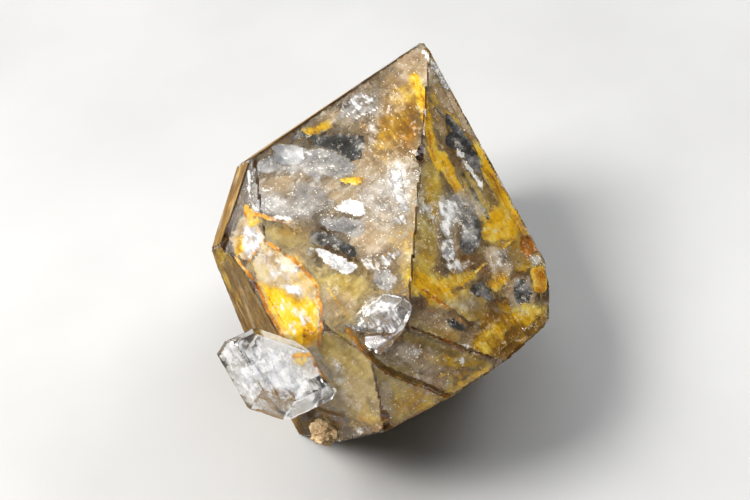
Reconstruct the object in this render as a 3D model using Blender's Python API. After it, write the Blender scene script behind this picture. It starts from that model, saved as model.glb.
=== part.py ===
"""Herkimer diamond: a large smoky-golden quartz crystal with a satellite crystal grown on its side.

The quartz body is built the way quartz is bounded in nature: six prism faces round the c axis and
six termination faces at each end, every one a plane at its own distance from the crystal centre.
The crystal lies on one lower termination face, so that face is level and its centre is the origin.
"""
import math

import bmesh
import bpy
from mathutils import Matrix, Vector, noise

MM = 0.001
OBJECT_NAME = "herkimer_diamond"

# Quartz: termination faces lean this far over from the c axis (normal measured from the axis).
TERMINATION_ANGLE = 51.8

# Main crystal: centre above the middle of its resting face, and the direction of the c axis.
MAIN_CENTRE = (-2.0, -13.0, 38.0)
MAIN_HEADING = 34.3
MAIN_RISE = 90.0 - TERMINATION_ANGLE

# Faces of the main crystal: form, azimuth round the axis, distance (mm), lean and turn (degrees).
# "upper" and "lower" are the two terminations and "prism" the sides between them.
MAIN_FACES = (
    ("upper", 0, 21.7, -0.4, 1.0),
    ("upper", 60, 24.0, 1.8, 0.2),
    ("upper", 120, 32.6, 4.8, 1.4),
    ("upper", 180, 53.0, 0.0, 0.0),
    ("upper", 240, 39.8, 0.0, 0.0),
    ("upper", 300, 31.2, 0.4, 0.2),
    ("prism", 60, 42.5, -1.7, -4.0),
    ("prism", 120, 38.0, 2.6, 2.2),
    ("prism", 180, 54.0, 0.0, 0.0),
    ("prism", 240, 38.2, 0.0, 0.0),
    ("prism", 300, 31.6, 0.6, 2.8),
    ("lower", 0, 36.0, -10.4, -11.8),
    ("lower", 60, 47.3, 7.7, -6.7),
    ("lower", 120, 31.2, -5.9, -2.2),
    ("lower", 180, 38.0, 0.0, 0.0),
    ("lower", 240, 47.5, 0.0, 0.0),
    ("lower", 300, 29.4, -2.9, 6.8),
)

# Contact facets, where other crystals once pressed on the growing one, and the broken lower tip:
# heading and rise of the outward normal (degrees) and distance from the centre (mm).
CONTACT_FACETS = (
    ("long_contact", -156.0, 27.8, 32.4),
    ("short_contact", -178.0, 38.0, 30.4),
    ("broken_tip", -122.0, -28.0, 42.9),
)

# Satellite crystal on the lower left: centre from the main centre, c axis, front direction, faces.
SATELLITE_CENTRE = (-22.1, -36.9, 7.9)
SATELLITE_AXIS = (0.840, -0.163, -0.517)
SATELLITE_FRONT = (0.364, -0.537, 0.761)
SATELLITE_FACES = (
    ("upper", 0, 11.0), ("upper", 60, 7.9), ("upper", 120, 9.6),
    ("upper", 180, 13.5), ("upper", 240, 11.0), ("upper", 300, 7.8),
    ("prism", 0, 5.5), ("prism", 60, 7.3), ("prism", 120, 7.6),
    ("prism", 180, 12.5), ("prism", 240, 5.0), ("prism", 300, 7.1),
    ("lower", 0, 11.0), ("lower", 60, 7.9), ("lower", 120, 8.5),
    ("lower", 180, 13.5), ("lower", 240, 8.3), ("lower", 300, 10.8),
)

# Small clear crystal standing on the front edge below the long ridge, with a lobe and a bud grown
# on it. It is built from its broad side, which faces along CLEAR_OUT: each outline is measured there
# from CLEAR_CENTRE, across and up, and goes round clockwise (mm).
CLEAR_CENTRE = (-0.3, -38.3, 21.4)
CLEAR_OUT = (0.0, -0.225, 0.974)
CLEAR_ACROSS = (0.987, -0.117, -0.109)
CLEAR_SIDE_LEAN = 6.0
CLEAR_ROOT = 5.0

# Name, outline and front facets: each facet by the heading it slopes towards (degrees from across
# to up), its tilt (degrees) and its distance from the centre (mm).
CLEAR_BODIES = (
    ("clear_crystal",
     ((-6.9, -1.2), (-4.4, 1.1), (0.6, 5.2), (4.1, 4.3), (5.9, 3.1), (5.8, 0.8), (4.5, -2.8), (2.7, -4.8),
      (-5.4, -2.5)),
     ((80, 30, 3.5), (-100, 22, 3.2), (10, 42, 4.7), (175, 28, 3.8))),
    ("clear_lobe",
     ((-3.2, 3.6), (-2.7, 4.9), (-2.1, 5.2), (-0.8, 5.1), (0.2, 4.5), (-0.4, 3.0), (-2.7, 1.9)),
     ((120, 30, 4.0), (-20, 15, 1.6))),
    ("clear_bud",
     ((-3.2, -4.2), (1.9, -3.7), (2.5, -5.0), (0.9, -6.9), (-0.6, -7.8), (-2.1, -7.0), (-3.1, -5.9)),
     ((-90, 20, 3.9), (160, 30, 3.0), (60, 20, 1.4))),
)

# Shell-shaped chips at the corners and edges: a point on the edge, from the main centre, the
# radius of the shell and how deep it bites there (all mm).
CHIPS = (
    ("apex_chip", (19.2, 41.4, 21.9), 6.0, 1.1),
    ("shoulder_chip", (-20.6, 37.0, 1.4), 6.5, 0.9),
    ("left_corner_chip", (-37.2, 18.0, -11.4), 6.0, 1.0),
    ("left_edge_chip", (-29.8, 1.8, 8.8), 5.0, 0.5),
    ("right_corner_chip", (37.6, -9.2, -5.7), 6.5, 0.9),
    ("right_lower_chip", (34.7, -24.0, -5.9), 5.0, 0.6),
    ("right_step_chip", (22.8, -39.2, 2.9), 5.5, 0.7),
    ("ridge_chip", (12.4, 4.0, 21.6), 4.5, 0.4),
    ("lower_edge_chip", (-3.2, -47.8, 2.0), 5.5, 0.6),
    ("base_chip", (26.7, 6.2, -37.6), 6.0, 0.7),
)

# Fleck of dolostone left in a pocket of the broken lower tip.
REMNANT_CENTRE = (-15.2, -36.4, -14.0)
REMNANT_SEMI_AXES = (3.6, 3.1, 3.5)
REMNANT_ROUGHNESS = 0.30
REMNANT_GAP = 0.45
BLANK_SIZE = 260.0


def start_clean():
    """Remove every object, so the script can run twice."""
    for old in list(bpy.data.objects):
        bpy.data.objects.remove(old, do_unlink=True)


def new_collection(name):
    """Make a collection linked to the scene."""
    made = bpy.data.collections.new(name)
    bpy.context.scene.collection.children.link(made)
    return made


def heading_vector(heading, rise):
    """Unit vector from a heading round +Z and a rise above level, both in degrees."""
    across = math.cos(math.radians(rise))
    turned = math.radians(heading)
    return Vector((across * math.cos(turned), across * math.sin(turned), math.sin(math.radians(rise))))


def crystal_frame(axis, front):
    """Axis, front and side directions of a crystal, at right angles to each other."""
    along = Vector(axis).normalized()
    ahead = Vector(front)
    ahead = (ahead - along * ahead.dot(along)).normalized()
    return along, ahead, along.cross(ahead)


def face_direction(frame, form, azimuth, lean=0.0, turn=0.0):
    """Outward normal of one quartz face, leant along the axis and turned round it a little."""
    along, ahead, side = frame
    angle = math.radians(azimuth)
    outward = ahead * math.cos(angle) + side * math.sin(angle)
    tip = math.radians(TERMINATION_ANGLE)
    if form == "upper":
        normal = outward * math.sin(tip) + along * math.cos(tip)
    elif form == "lower":
        normal = outward * math.sin(tip) - along * math.cos(tip)
    else:
        normal = outward
    across = along.cross(normal).normalized()
    upward = normal.cross(across)
    normal = normal + upward * math.radians(lean) + across * math.radians(turn)
    return normal.normalized()


def cut_blank(planes):
    """Cut a cube back to a convex solid, one plane after another.

    Each plane is an outward normal and a distance from the centre in millimetres.
    """
    solid = bmesh.new()
    bmesh.ops.create_cube(solid, size=BLANK_SIZE * MM)
    for normal, distance in planes:
        parts = solid.verts[:] + solid.edges[:] + solid.faces[:]
        cut = bmesh.ops.bisect_plane(
            solid, geom=parts, dist=1e-7, plane_co=normal * distance * MM, plane_no=normal, clear_outer=True)
        rim = [piece for piece in cut["geom_cut"] if isinstance(piece, bmesh.types.BMEdge)]
        if rim:
            bmesh.ops.edgenet_fill(solid, edges=rim)
    bmesh.ops.remove_doubles(solid, verts=solid.verts[:], dist=1e-6)
    bmesh.ops.recalc_face_normals(solid, faces=solid.faces[:])
    return solid


def rough_lump(semi_axes, roughness, swell):
    """A rough closed lump: a sphere drawn out to three half-lengths and roughened by noise."""
    solid = bmesh.new()
    bmesh.ops.create_icosphere(solid, subdivisions=3, radius=1.0)
    for vert in solid.verts:
        way = vert.co.normalized()
        bump = 1.0 + roughness * noise.noise(way * 1.9 + Vector((3.1, 0.4, 7.7)))
        bump += 0.4 * roughness * noise.noise(way * 5.3 + Vector((0.2, 5.9, 1.3)))
        reach = Vector((way.x * semi_axes[0], way.y * semi_axes[1], way.z * semi_axes[2])) * bump
        vert.co = (reach + way * swell) * MM
    bmesh.ops.recalc_face_normals(solid, faces=solid.faces[:])
    return solid


def place(solid, name, collection, centre, cutter=False):
    """Turn a finished bmesh into a named object standing at its centre."""
    mesh = bpy.data.meshes.new(name)
    solid.to_mesh(mesh)
    solid.free()
    made = bpy.data.objects.new(name, mesh)
    made.location = Vector(centre) * MM
    collection.objects.link(made)
    if cutter:
        made.hide_render = True
        made.display_type = "WIRE"
    return made


def join_or_cut(target, tool, operation):
    """Add an exact Boolean of one object to another."""
    step = target.modifiers.new(operation.lower() + "_" + tool.name, "BOOLEAN")
    step.operation = operation
    step.solver = "EXACT"
    step.object = tool
    return step


def dress(target, name, colour, roughness, metallic=0.0):
    """Give an object its own Principled material."""
    finish = bpy.data.materials.new(name)
    finish.use_nodes = True
    shader = finish.node_tree.nodes["Principled BSDF"]
    shader.inputs["Base Color"].default_value = (*colour, 1.0)
    shader.inputs["Roughness"].default_value = roughness
    shader.inputs["Metallic"].default_value = metallic
    target.data.materials.append(finish)
    return finish


def shifted(offset):
    """A point given from the main crystal's centre, in the object's frame."""
    return tuple(Vector(MAIN_CENTRE) + Vector(offset))


def main_planes():
    """Planes of the main crystal: quartz faces first, then the contact facets and the break."""
    turned = math.radians(MAIN_HEADING)
    level = Vector((math.sin(turned), math.cos(turned), 0.0))
    rise = math.radians(MAIN_RISE)
    axis = level * math.cos(rise) + Vector((0.0, 0.0, math.sin(rise)))
    front = Vector((0.0, 0.0, math.cos(rise))) - level * math.sin(rise)
    frame = (axis, front, Vector((math.cos(turned), -math.sin(turned), 0.0)))
    planes = [(face_direction(frame, form, azimuth, lean, turn), distance)
              for form, azimuth, distance, lean, turn in MAIN_FACES]
    planes += [(heading_vector(heading, rise_angle), distance)
               for _, heading, rise_angle, distance in CONTACT_FACETS]
    return planes


def small_planes(axis, front, faces):
    """Planes of a small crystal given by its axis, front direction and face distances."""
    frame = crystal_frame(axis, front)
    return [(face_direction(frame, form, azimuth), distance) for form, azimuth, distance in faces]


def outline_planes(outline, facets):
    """Planes of a small crystal given by its outline and front facets on its broad side."""
    out, across, up = crystal_frame(CLEAR_OUT, CLEAR_ACROSS)
    lean = math.radians(CLEAR_SIDE_LEAN)
    planes = [(-out, CLEAR_ROOT)]
    for (ax, ay), (bx, by) in zip(outline, outline[1:] + outline[:1]):
        flat = Vector((ay - by, bx - ax)).normalized()
        sideways = across * flat.x + up * flat.y
        planes.append((sideways * math.cos(lean) + out * math.sin(lean),
                       (flat.x * ax + flat.y * ay) * math.cos(lean)))
    for heading, tilt, distance in facets:
        turned, tipped = math.radians(heading), math.radians(tilt)
        slope = across * math.cos(turned) + up * math.sin(turned)
        planes.append((slope * math.sin(tipped) + out * math.cos(tipped), distance))
    return planes


def build():
    """Build the quartz body and the dolostone fleck."""
    start_clean()
    parts = new_collection(OBJECT_NAME)
    tools = new_collection("cutters")

    quartz = place(cut_blank(main_planes()), "quartz_crystal", parts, MAIN_CENTRE)

    satellite = place(
        cut_blank(small_planes(SATELLITE_AXIS, SATELLITE_FRONT, SATELLITE_FACES)),
        "satellite_crystal", tools, shifted(SATELLITE_CENTRE), cutter=True)
    join_or_cut(quartz, satellite, "UNION")

    for name, outline, facets in CLEAR_BODIES:
        body = place(
            cut_blank(outline_planes(outline, facets)), name, tools, shifted(CLEAR_CENTRE), cutter=True)
        join_or_cut(quartz, body, "UNION")

    for name, edge_point, radius, bite in CHIPS:
        ball = bmesh.new()
        bmesh.ops.create_icosphere(ball, subdivisions=4, radius=radius * MM)
        clear_of_edge = Vector(edge_point) + Vector(edge_point).normalized() * (radius - bite)
        chip = place(ball, name, tools, shifted(clear_of_edge), cutter=True)
        join_or_cut(quartz, chip, "DIFFERENCE")

    pocket = place(
        rough_lump(REMNANT_SEMI_AXES, REMNANT_ROUGHNESS, REMNANT_GAP),
        "remnant_pocket", tools, shifted(REMNANT_CENTRE), cutter=True)
    join_or_cut(quartz, pocket, "DIFFERENCE")

    remnant = place(
        rough_lump(REMNANT_SEMI_AXES, REMNANT_ROUGHNESS, 0.0),
        "dolostone_remnant", parts, shifted(REMNANT_CENTRE))

    dress(quartz, "smoky_golden_quartz", (0.66, 0.50, 0.27), 0.08)
    dress(remnant, "tan_dolostone", (0.50, 0.36, 0.21), 0.85)


build()
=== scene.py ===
"""Herkimer diamond: a smoky golden quartz crystal with its satellite, inclusions and iron stains.

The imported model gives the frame. The quartz is rebuilt here from its crystal faces with fine relief,
and what is sealed in it (fracture sheets, veils, iron films, clay and flecks) is made as thin meshes
placed under the faces they are seen through.
"""
from __future__ import annotations

import logging
import math
from dataclasses import dataclass, field
from enum import Enum
from functools import cached_property
from typing import ClassVar, Sequence

import bmesh
import bpy
from mathutils import Matrix, Vector, noise


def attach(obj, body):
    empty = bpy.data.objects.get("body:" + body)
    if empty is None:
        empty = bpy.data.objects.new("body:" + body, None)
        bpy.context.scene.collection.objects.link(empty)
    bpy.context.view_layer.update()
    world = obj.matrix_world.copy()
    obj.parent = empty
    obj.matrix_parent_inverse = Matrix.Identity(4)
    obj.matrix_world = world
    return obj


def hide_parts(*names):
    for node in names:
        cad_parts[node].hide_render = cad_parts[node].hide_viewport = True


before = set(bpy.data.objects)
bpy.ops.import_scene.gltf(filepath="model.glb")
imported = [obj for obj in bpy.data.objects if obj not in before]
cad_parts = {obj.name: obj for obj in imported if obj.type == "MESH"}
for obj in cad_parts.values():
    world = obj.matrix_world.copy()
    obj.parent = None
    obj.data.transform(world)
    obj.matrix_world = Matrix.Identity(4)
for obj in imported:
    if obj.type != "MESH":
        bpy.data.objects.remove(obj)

LOG = logging.getLogger("herkimer")
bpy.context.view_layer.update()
QUARTZ_SLOT = "smoky_golden_quartz"

# Sizes in millimetres unless said otherwise; MM turns them into metres.
MM = 0.001
MAIN_CENTRE = Vector((-2.0, -13.0, 38.0))
BLANK_SIDE = 260.0
SENSOR_WIDTH = 36.0
FAR_OFF = 1e9
QUARTZ_IOR = 1.544
TERMINATION_ANGLE = 51.8  # degrees between a termination face's normal and the c axis

# The frame that the marks are placed in, and the cosine past which a face is only grazed.
FRAME_WIDTH = 750.0
FRAME_HEIGHT = 500.0
GRAZING = -0.25

# Noise in the films: wander and fraying of the marks (height and waves a frame unit), and the
# wavelengths of the films' relief, crumpling and tone.
DRIFT = ((1.0, 0.055), (0.6, 0.16))
NICK = ((2.6, 0.30), (1.8, 0.75))
RELIEF_LENGTH = 9.0
CRUMPLE_LENGTH = 1.7
TONE_LENGTH = 4.2

Spot = tuple[float, float]
Outline = tuple[Spot, ...]
Tint = tuple[float, float, float]


class Form(Enum):
    """The three kinds of quartz face."""

    UPPER = 1
    PRISM = 0
    LOWER = -1


@dataclass(frozen=True)
class Facet:
    """One quartz face: its form, azimuth round the axis, distance (mm), lean and turn (degrees)."""

    form: Form
    azimuth: float
    distance: float
    lean: float = 0.0
    turn: float = 0.0


@dataclass(frozen=True)
class Plane:
    """A plane bounding a crystal: outward normal and distance from the crystal's centre (mm)."""

    normal: Vector
    distance: float


@dataclass
class CrystalFrame:
    """The c axis of a crystal with its front and side directions."""

    axis: Vector
    front: Vector

    def __post_init__(self) -> None:
        """Make the three directions unit length and square to each other."""
        self.axis = self.axis.normalized()
        self.front = (self.front - self.axis * self.front.dot(self.axis)).normalized()
        self.side = self.axis.cross(self.front)

    @classmethod
    def lying(cls, heading: float, rise: float) -> CrystalFrame:
        """Frame of a crystal whose axis rises from level and whose front leans back over it.

        Args:
            heading: Degrees from +Y towards +X.
            rise: Degrees above level.

        Returns:
            The frame, with its side direction level and to the right.
        """
        turned, tipped = math.radians(heading), math.radians(rise)
        level = Vector((math.sin(turned), math.cos(turned), 0.0))
        axis = level * math.cos(tipped) + Vector((0.0, 0.0, math.sin(tipped)))
        made = cls(axis, Vector((0.0, 0.0, 1.0)))
        made.side = Vector((math.cos(turned), -math.sin(turned), 0.0))
        return made

    def plane(self, facet: Facet) -> Plane:
        """Plane of one quartz face in this frame.

        Args:
            facet: The face, by form, azimuth and distance.

        Returns:
            Its plane.
        """
        angle, tip = math.radians(facet.azimuth), math.radians(TERMINATION_ANGLE)
        normal = self.front * math.cos(angle) + self.side * math.sin(angle)
        if facet.form is not Form.PRISM:
            normal = normal * math.sin(tip) + self.axis * (facet.form.value * math.cos(tip))
        across = self.axis.cross(normal).normalized()
        upward = normal.cross(across)
        normal = normal + upward * math.radians(facet.lean) + across * math.radians(facet.turn)
        return Plane(normal.normalized(), facet.distance)


def heading_plane(heading: float, rise: float, distance: float) -> Plane:
    """Plane whose normal has this heading round +Z and this rise above level.

    Args:
        heading: Degrees from +X towards +Y.
        rise: Degrees above level.
        distance: Millimetres from the crystal's centre.

    Returns:
        The plane.
    """
    turned, tipped = math.radians(heading), math.radians(rise)
    flat = math.cos(tipped)
    return Plane(Vector((flat * math.cos(turned), flat * math.sin(turned), math.sin(tipped))), distance)


def facets(form: Form, *pairs: tuple[float, float]) -> list[Facet]:
    """Faces of one form from pairs of azimuth and distance."""
    return [Facet(form, azimuth, distance) for azimuth, distance in pairs]


def convex_solid(planes: Sequence[Plane], centre: Vector, grow: float = 0.0) -> bmesh.types.BMesh:
    """Cut a cubic blank back to the convex solid inside a set of planes.

    Args:
        planes: Planes about the solid's centre, in millimetres.
        centre: Where that centre stands, in millimetres.
        grow: How far every plane is moved outwards, in millimetres.

    Returns:
        The closed solid, in metres.
    """
    solid = bmesh.new()
    bmesh.ops.create_cube(solid, size=BLANK_SIDE * MM)
    for plane in planes:
        parts = solid.verts[:] + solid.edges[:] + solid.faces[:]
        cut = bmesh.ops.bisect_plane(
            solid, geom=parts, dist=1e-7, plane_co=plane.normal * (plane.distance + grow) * MM,
            plane_no=plane.normal, clear_outer=True)
        rim = [piece for piece in cut["geom_cut"] if isinstance(piece, bmesh.types.BMEdge)]
        if rim:
            bmesh.ops.edgenet_fill(solid, edges=rim)
    bmesh.ops.remove_doubles(solid, verts=solid.verts[:], dist=1e-6)
    bmesh.ops.translate(solid, verts=solid.verts[:], vec=centre * MM)
    bmesh.ops.recalc_face_normals(solid, faces=solid.faces[:])
    return solid


def as_object(solid: bmesh.types.BMesh, name: str) -> bpy.types.Object:
    """Turn a bmesh into an object of the scene, and free it.

    Args:
        solid: The mesh to show; it is freed.
        name: The object's name.

    Returns:
        The object.
    """
    mesh = bpy.data.meshes.new(name)
    solid.to_mesh(mesh)
    solid.free()
    made = bpy.data.objects.new(name, mesh)
    bpy.context.scene.collection.objects.link(made)
    return made


def boolean(target: bpy.types.Object, tool: bpy.types.Object, operation: str) -> None:
    """Apply an exact Boolean to the target and remove the tool.

    Args:
        target: What is changed.
        tool: What cuts or joins it; it is removed.
        operation: UNION or DIFFERENCE.
    """
    step = target.modifiers.new("cut", "BOOLEAN")
    step.operation = operation
    step.solver = "EXACT"
    step.object = tool
    bake_modifiers(target)
    bpy.data.objects.remove(tool, do_unlink=True)


def bake_modifiers(target: bpy.types.Object) -> None:
    """Make what the modifiers show the object's own mesh.

    Args:
        target: The object that carries them.
    """
    shown = target.evaluated_get(bpy.context.evaluated_depsgraph_get())
    mesh = bpy.data.meshes.new_from_object(shown)
    target.modifiers.clear()
    target.data = mesh


def fbm(point: Vector, scale: float, octaves: int = 3, seed: float = 0.0) -> float:
    """Fractal noise between about -1 and 1, with a wavelength of `scale` millimetres.

    Args:
        point: Place (mm).
        scale: Length of the longest waves (mm).
        octaves: How many finer rounds of noise are added, each half the last.
        seed: Tells one pattern from another.

    Returns:
        The noise.
    """
    place = point * (1.0 / scale) + Vector((seed * 3.7, seed * 1.3, seed * 7.1))
    total, weight, reach = 0.0, 1.0, 0.0
    for _ in range(octaves):
        total += noise.noise(place) * weight
        reach += weight
        place = place * 2.03
        weight *= 0.5
    return total / reach


def waver(spot: Vector, waves: Sequence[tuple[float, float]]) -> float:
    """Sum of noise waves at a place in the frame, each of a height and so many waves a frame unit."""
    return sum(height * noise.noise(spot * pitch) for height, pitch in waves)


def smooth_share(value: float) -> float:
    """Smooth step of a value, held between 0 and 1."""
    share = min(1.0, max(0.0, value))
    return share * share * (3.0 - 2.0 * share)


def gap_to(x: float, y: float, start: Spot, end: Spot) -> float:
    """Distance from a place in the frame to the stretch between two others.

    Args:
        x: Place across the frame.
        y: Place down the frame.
        start: One end of the stretch.
        end: Its other end.

    Returns:
        The distance, in frame units.
    """
    along_x, along_y = end[0] - start[0], end[1] - start[1]
    share = ((x - start[0]) * along_x + (y - start[1]) * along_y) / (along_x ** 2 + along_y ** 2)
    share = min(1.0, max(0.0, share))
    return math.hypot(x - start[0] - share * along_x, y - start[1] - share * along_y)


# --- shader writing -----------------------------------------------------------------------------


class Val:
    """A number socket in a node tree that Python expressions can be written with."""

    def __init__(self, graph: Graph, socket: bpy.types.NodeSocket) -> None:
        """Keep the graph and the output socket."""
        self.graph = graph
        self.socket = socket

    def _math(self, operation: str, *others: object, swap: bool = False) -> Val:
        """Add a Math node on this value and others.

        Args:
            operation: The node's operation.
            others: Its other inputs.
            swap: Whether the inputs go in the other order.

        Returns:
            The node's result.
        """
        values: list[object] = [self, *others]
        if swap:
            values.reverse()
        sockets = {index: value for index, value in enumerate(values)}
        return self.graph.value("ShaderNodeMath", {"operation": operation}, sockets)

    def __add__(self, other: object) -> Val:
        """This plus other."""
        return self._math("ADD", other)

    def __sub__(self, other: object) -> Val:
        """This less other."""
        return self._math("SUBTRACT", other)

    def __rsub__(self, other: object) -> Val:
        """Other less this."""
        return self._math("SUBTRACT", other, swap=True)

    def __mul__(self, other: object) -> Val:
        """This times other."""
        return self._math("MULTIPLY", other)

    def __truediv__(self, other: object) -> Val:
        """This over other."""
        return self._math("DIVIDE", other)

    def __pow__(self, other: object) -> Val:
        """This to the power of other."""
        return self._math("POWER", other)

    __radd__ = __add__
    __rmul__ = __mul__

    def most(self, other: object) -> Val:
        """The larger of this and other."""
        return self._math("MAXIMUM", other)

    def ramp(self, low: float, high: float) -> Val:
        """Smooth step from 0 at low to 1 at high.

        Args:
            low: Where the step starts.
            high: Where it ends.

        Returns:
            The stepped value.
        """
        return self.graph.value(
            "ShaderNodeMapRange", {"interpolation_type": "SMOOTHSTEP"},
            {"Value": self, "From Min": low, "From Max": high})


class Graph:
    """A material's node tree with short ways to add to it."""

    def __init__(self, name: str, laid: bool = False) -> None:
        """Make an empty material; with `laid` its patterns follow the mesh's own "lay" attribute.

        Args:
            name: The material's name.
            laid: Whether its patterns follow the mesh's own "lay" attribute.
        """
        self.laid = laid
        self.material = bpy.data.materials.new(name)
        self.material.use_nodes = True
        self.tree = self.material.node_tree
        self.tree.nodes.clear()
        self.output = self.node("ShaderNodeOutputMaterial")

    def node(self, kind: str, settings: dict[str, object] | None = None,
             sockets: dict[object, object] | None = None) -> bpy.types.Node:
        """Add a node.

        Args:
            kind: The node's type name.
            settings: Properties set first; "stops" holds a colour ramp's (place, colour) pairs.
            sockets: Values or links for its inputs, by name or number.

        Returns:
            The node.
        """
        made = self.tree.nodes.new(kind)
        for key, value in (settings or {}).items():
            if key == "stops":
                self._set_stops(made, value)
            else:
                setattr(made, key, value)
        for key, value in (sockets or {}).items():
            self.feed(made.inputs[key], value)
        return made

    @staticmethod
    def _set_stops(ramp: bpy.types.Node, stops: Sequence[tuple[float, Tint]]) -> None:
        """Set a colour ramp's stops.

        Args:
            ramp: The ramp's node.
            stops: Places and colours.
        """
        elements = ramp.color_ramp.elements
        while len(elements) > 1:
            elements.remove(elements[-1])
        for index, (place, colour) in enumerate(stops):
            element = elements[0] if index == 0 else elements.new(place)
            element.position = place
            element.color = (*colour, 1.0)

    def feed(self, socket: bpy.types.NodeSocket, value: object) -> None:
        """Link a value to a socket, or set it there.

        Args:
            socket: The input.
            value: A Val or an output to link, or a plain value.
        """
        if isinstance(value, Val):
            self.tree.links.new(value.socket, socket)
        elif isinstance(value, bpy.types.NodeSocket):
            self.tree.links.new(value, socket)
        elif isinstance(value, tuple) and socket.type == "RGBA" and len(value) == 3:
            socket.default_value = (*value, 1.0)
        else:
            socket.default_value = value

    def value(self, kind: str, settings: dict[str, object] | None = None,
              sockets: dict[object, object] | None = None, output: object = 0) -> Val:
        """Add a node and take one of its number outputs."""
        return Val(self, self.node(kind, settings, sockets).outputs[output])

    @property
    def place(self) -> bpy.types.NodeSocket:
        """Object coordinates, or the mesh's own lay where the patterns follow it.

        Returns:
            The coordinates.
        """
        if self.laid:
            return self.node("ShaderNodeAttribute", {"attribute_name": "lay"}).outputs["Vector"]
        return self.node("ShaderNodeTexCoord").outputs["Object"]

    def cloud(self, size_mm: float, detail: float = 4.0, roughness: float = 0.55,
              distortion: float = 0.0, stretch: tuple[float, float, float] = (1.0, 1.0, 1.0),
              turn: tuple[float, float, float] = (0.0, 0.0, 0.0), shift: float = 0.0) -> Val:
        """Noise over the object's own coordinates.

        Args:
            size_mm: Rough size of one blotch.
            detail: Octaves of finer noise.
            roughness: Weight of the finer noise.
            distortion: Warp of the noise.
            stretch: How many times longer the blotches are along each axis of the turned pattern.
            turn: Turn of the pattern in degrees.
            shift: Moves the pattern, to tell one from another.

        Returns:
            The noise, from 0 to 1.
        """
        mapping = self.node("ShaderNodeMapping", {"vector_type": "TEXTURE"}, {
            "Vector": self.place, "Location": (shift, shift * 0.7, shift * 0.3),
            "Rotation": tuple(math.radians(angle) for angle in turn), "Scale": stretch})
        return self.value("ShaderNodeTexNoise", None, {
            "Vector": mapping.outputs[0], "Scale": 1000.0 / size_mm, "Detail": detail,
            "Roughness": roughness, "Distortion": distortion})

    def cells(self, size_mm: float, shift: float = 0.0) -> Val:
        """Voronoi distance over the object's own coordinates, with cells of this size.

        Args:
            size_mm: Size of a cell.
            shift: Moves the pattern.

        Returns:
            The distance to the cell's middle.
        """
        mapping = self.node("ShaderNodeMapping", sockets={
            "Vector": self.place, "Location": (shift, shift * 0.4, shift * 0.9)})
        return self.value("ShaderNodeTexVoronoi", {"feature": "F1"}, {
            "Vector": mapping.outputs[0], "Scale": 1000.0 / size_mm}, "Distance")

    def shards(self, size_mm: float, warp_mm: float = 0.6, shift: float = 0.0) -> Val:
        """A random tone for each cell of a crushed, warped mosaic over the object's coordinates.

        Args:
            size_mm: Size of a cell.
            warp_mm: How far the cells' edges wander.
            shift: Moves the pattern.

        Returns:
            The tone, from 0 to 1.
        """
        drift = self.node("ShaderNodeTexNoise", None, {
            "Vector": self.place, "Scale": 1000.0 / (size_mm * 1.5), "Detail": 1.0})
        centred = self.node("ShaderNodeVectorMath", {"operation": "SUBTRACT"}, {
            0: drift.outputs["Color"], 1: (0.5 + shift, 0.5, 0.5 - shift)})
        moved = self.node("ShaderNodeVectorMath", {"operation": "MULTIPLY_ADD"}, {
            0: centred.outputs[0], 1: (warp_mm * 4 * MM,) * 3, 2: self.place})
        mosaic = self.node("ShaderNodeTexVoronoi", {"feature": "F1"}, {
            "Vector": moved.outputs[0], "Scale": 1000.0 / size_mm})
        return self.value("ShaderNodeSeparateColor", None, {"Color": mosaic.outputs["Color"]}, "Red")

    def blend(self, amount: Val, first: object, second: object) -> bpy.types.NodeSocket:
        """Colour that goes from the first to the second as the amount goes from 0 to 1.

        Args:
            amount: Share of the second.
            first: A colour or an output.
            second: A colour or an output.

        Returns:
            The blended colour.
        """
        mixer = self.node("ShaderNodeMix", {"data_type": "RGBA"}, {0: amount})
        self.feed(mixer.inputs[6], first)
        self.feed(mixer.inputs[7], second)
        return mixer.outputs[2]

    def attribute(self, name: str) -> Val:
        """A number stored on the mesh's points."""
        return self.value("ShaderNodeAttribute", {"attribute_name": name}, None, "Fac")

    def colours(self, amount: Val, *stops: tuple[float, Tint]) -> bpy.types.NodeSocket:
        """Colour ramp over a value."""
        return self.node("ShaderNodeValToRGB", {"stops": stops}, {"Fac": amount}).outputs["Color"]

    def bump(self, height: Val, strength: float, reach_mm: float) -> bpy.types.NodeSocket:
        """Bump normal from a height."""
        return self.node("ShaderNodeBump", None, {
            "Height": height, "Strength": strength, "Distance": reach_mm * MM}).outputs["Normal"]

    def principled(self, **sockets: object) -> bpy.types.Node:
        """Principled shader; underscores in the names stand for spaces."""
        return self.node("ShaderNodeBsdfPrincipled", None, {
            key.replace("_", " "): value for key, value in sockets.items()})

    def surface(self, shader: bpy.types.Node) -> None:
        """Send a shader to the surface output."""
        self.tree.links.new(shader.outputs[0], self.output.inputs["Surface"])

    def absorb(self, colour: Tint, density: float) -> None:
        """Fill the solid with an absorbing volume of plain colour and density (per metre)."""
        volume = self.node("ShaderNodeVolumeAbsorption", None, {"Color": colour, "Density": density})
        self.tree.links.new(volume.outputs[0], self.output.inputs["Volume"])


class Finish:
    """A finish that makes its material once and hands it out."""

    name: str
    slot: str = QUARTZ_SLOT
    laid: ClassVar[bool] = False

    def write(self, graph: Graph) -> None:
        """Write the material's nodes; each finish has its own."""
        raise NotImplementedError

    def material(self) -> bpy.types.Material:
        """The finish's material, made on first use.

        Returns:
            The material.
        """
        known = bpy.data.materials.get(self.name)
        if known is None:
            graph = Graph(self.name, self.laid)
            self.write(graph)
            known = graph.material
        return known


# --- finishes -----------------------------------------------------------------------------------


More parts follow.
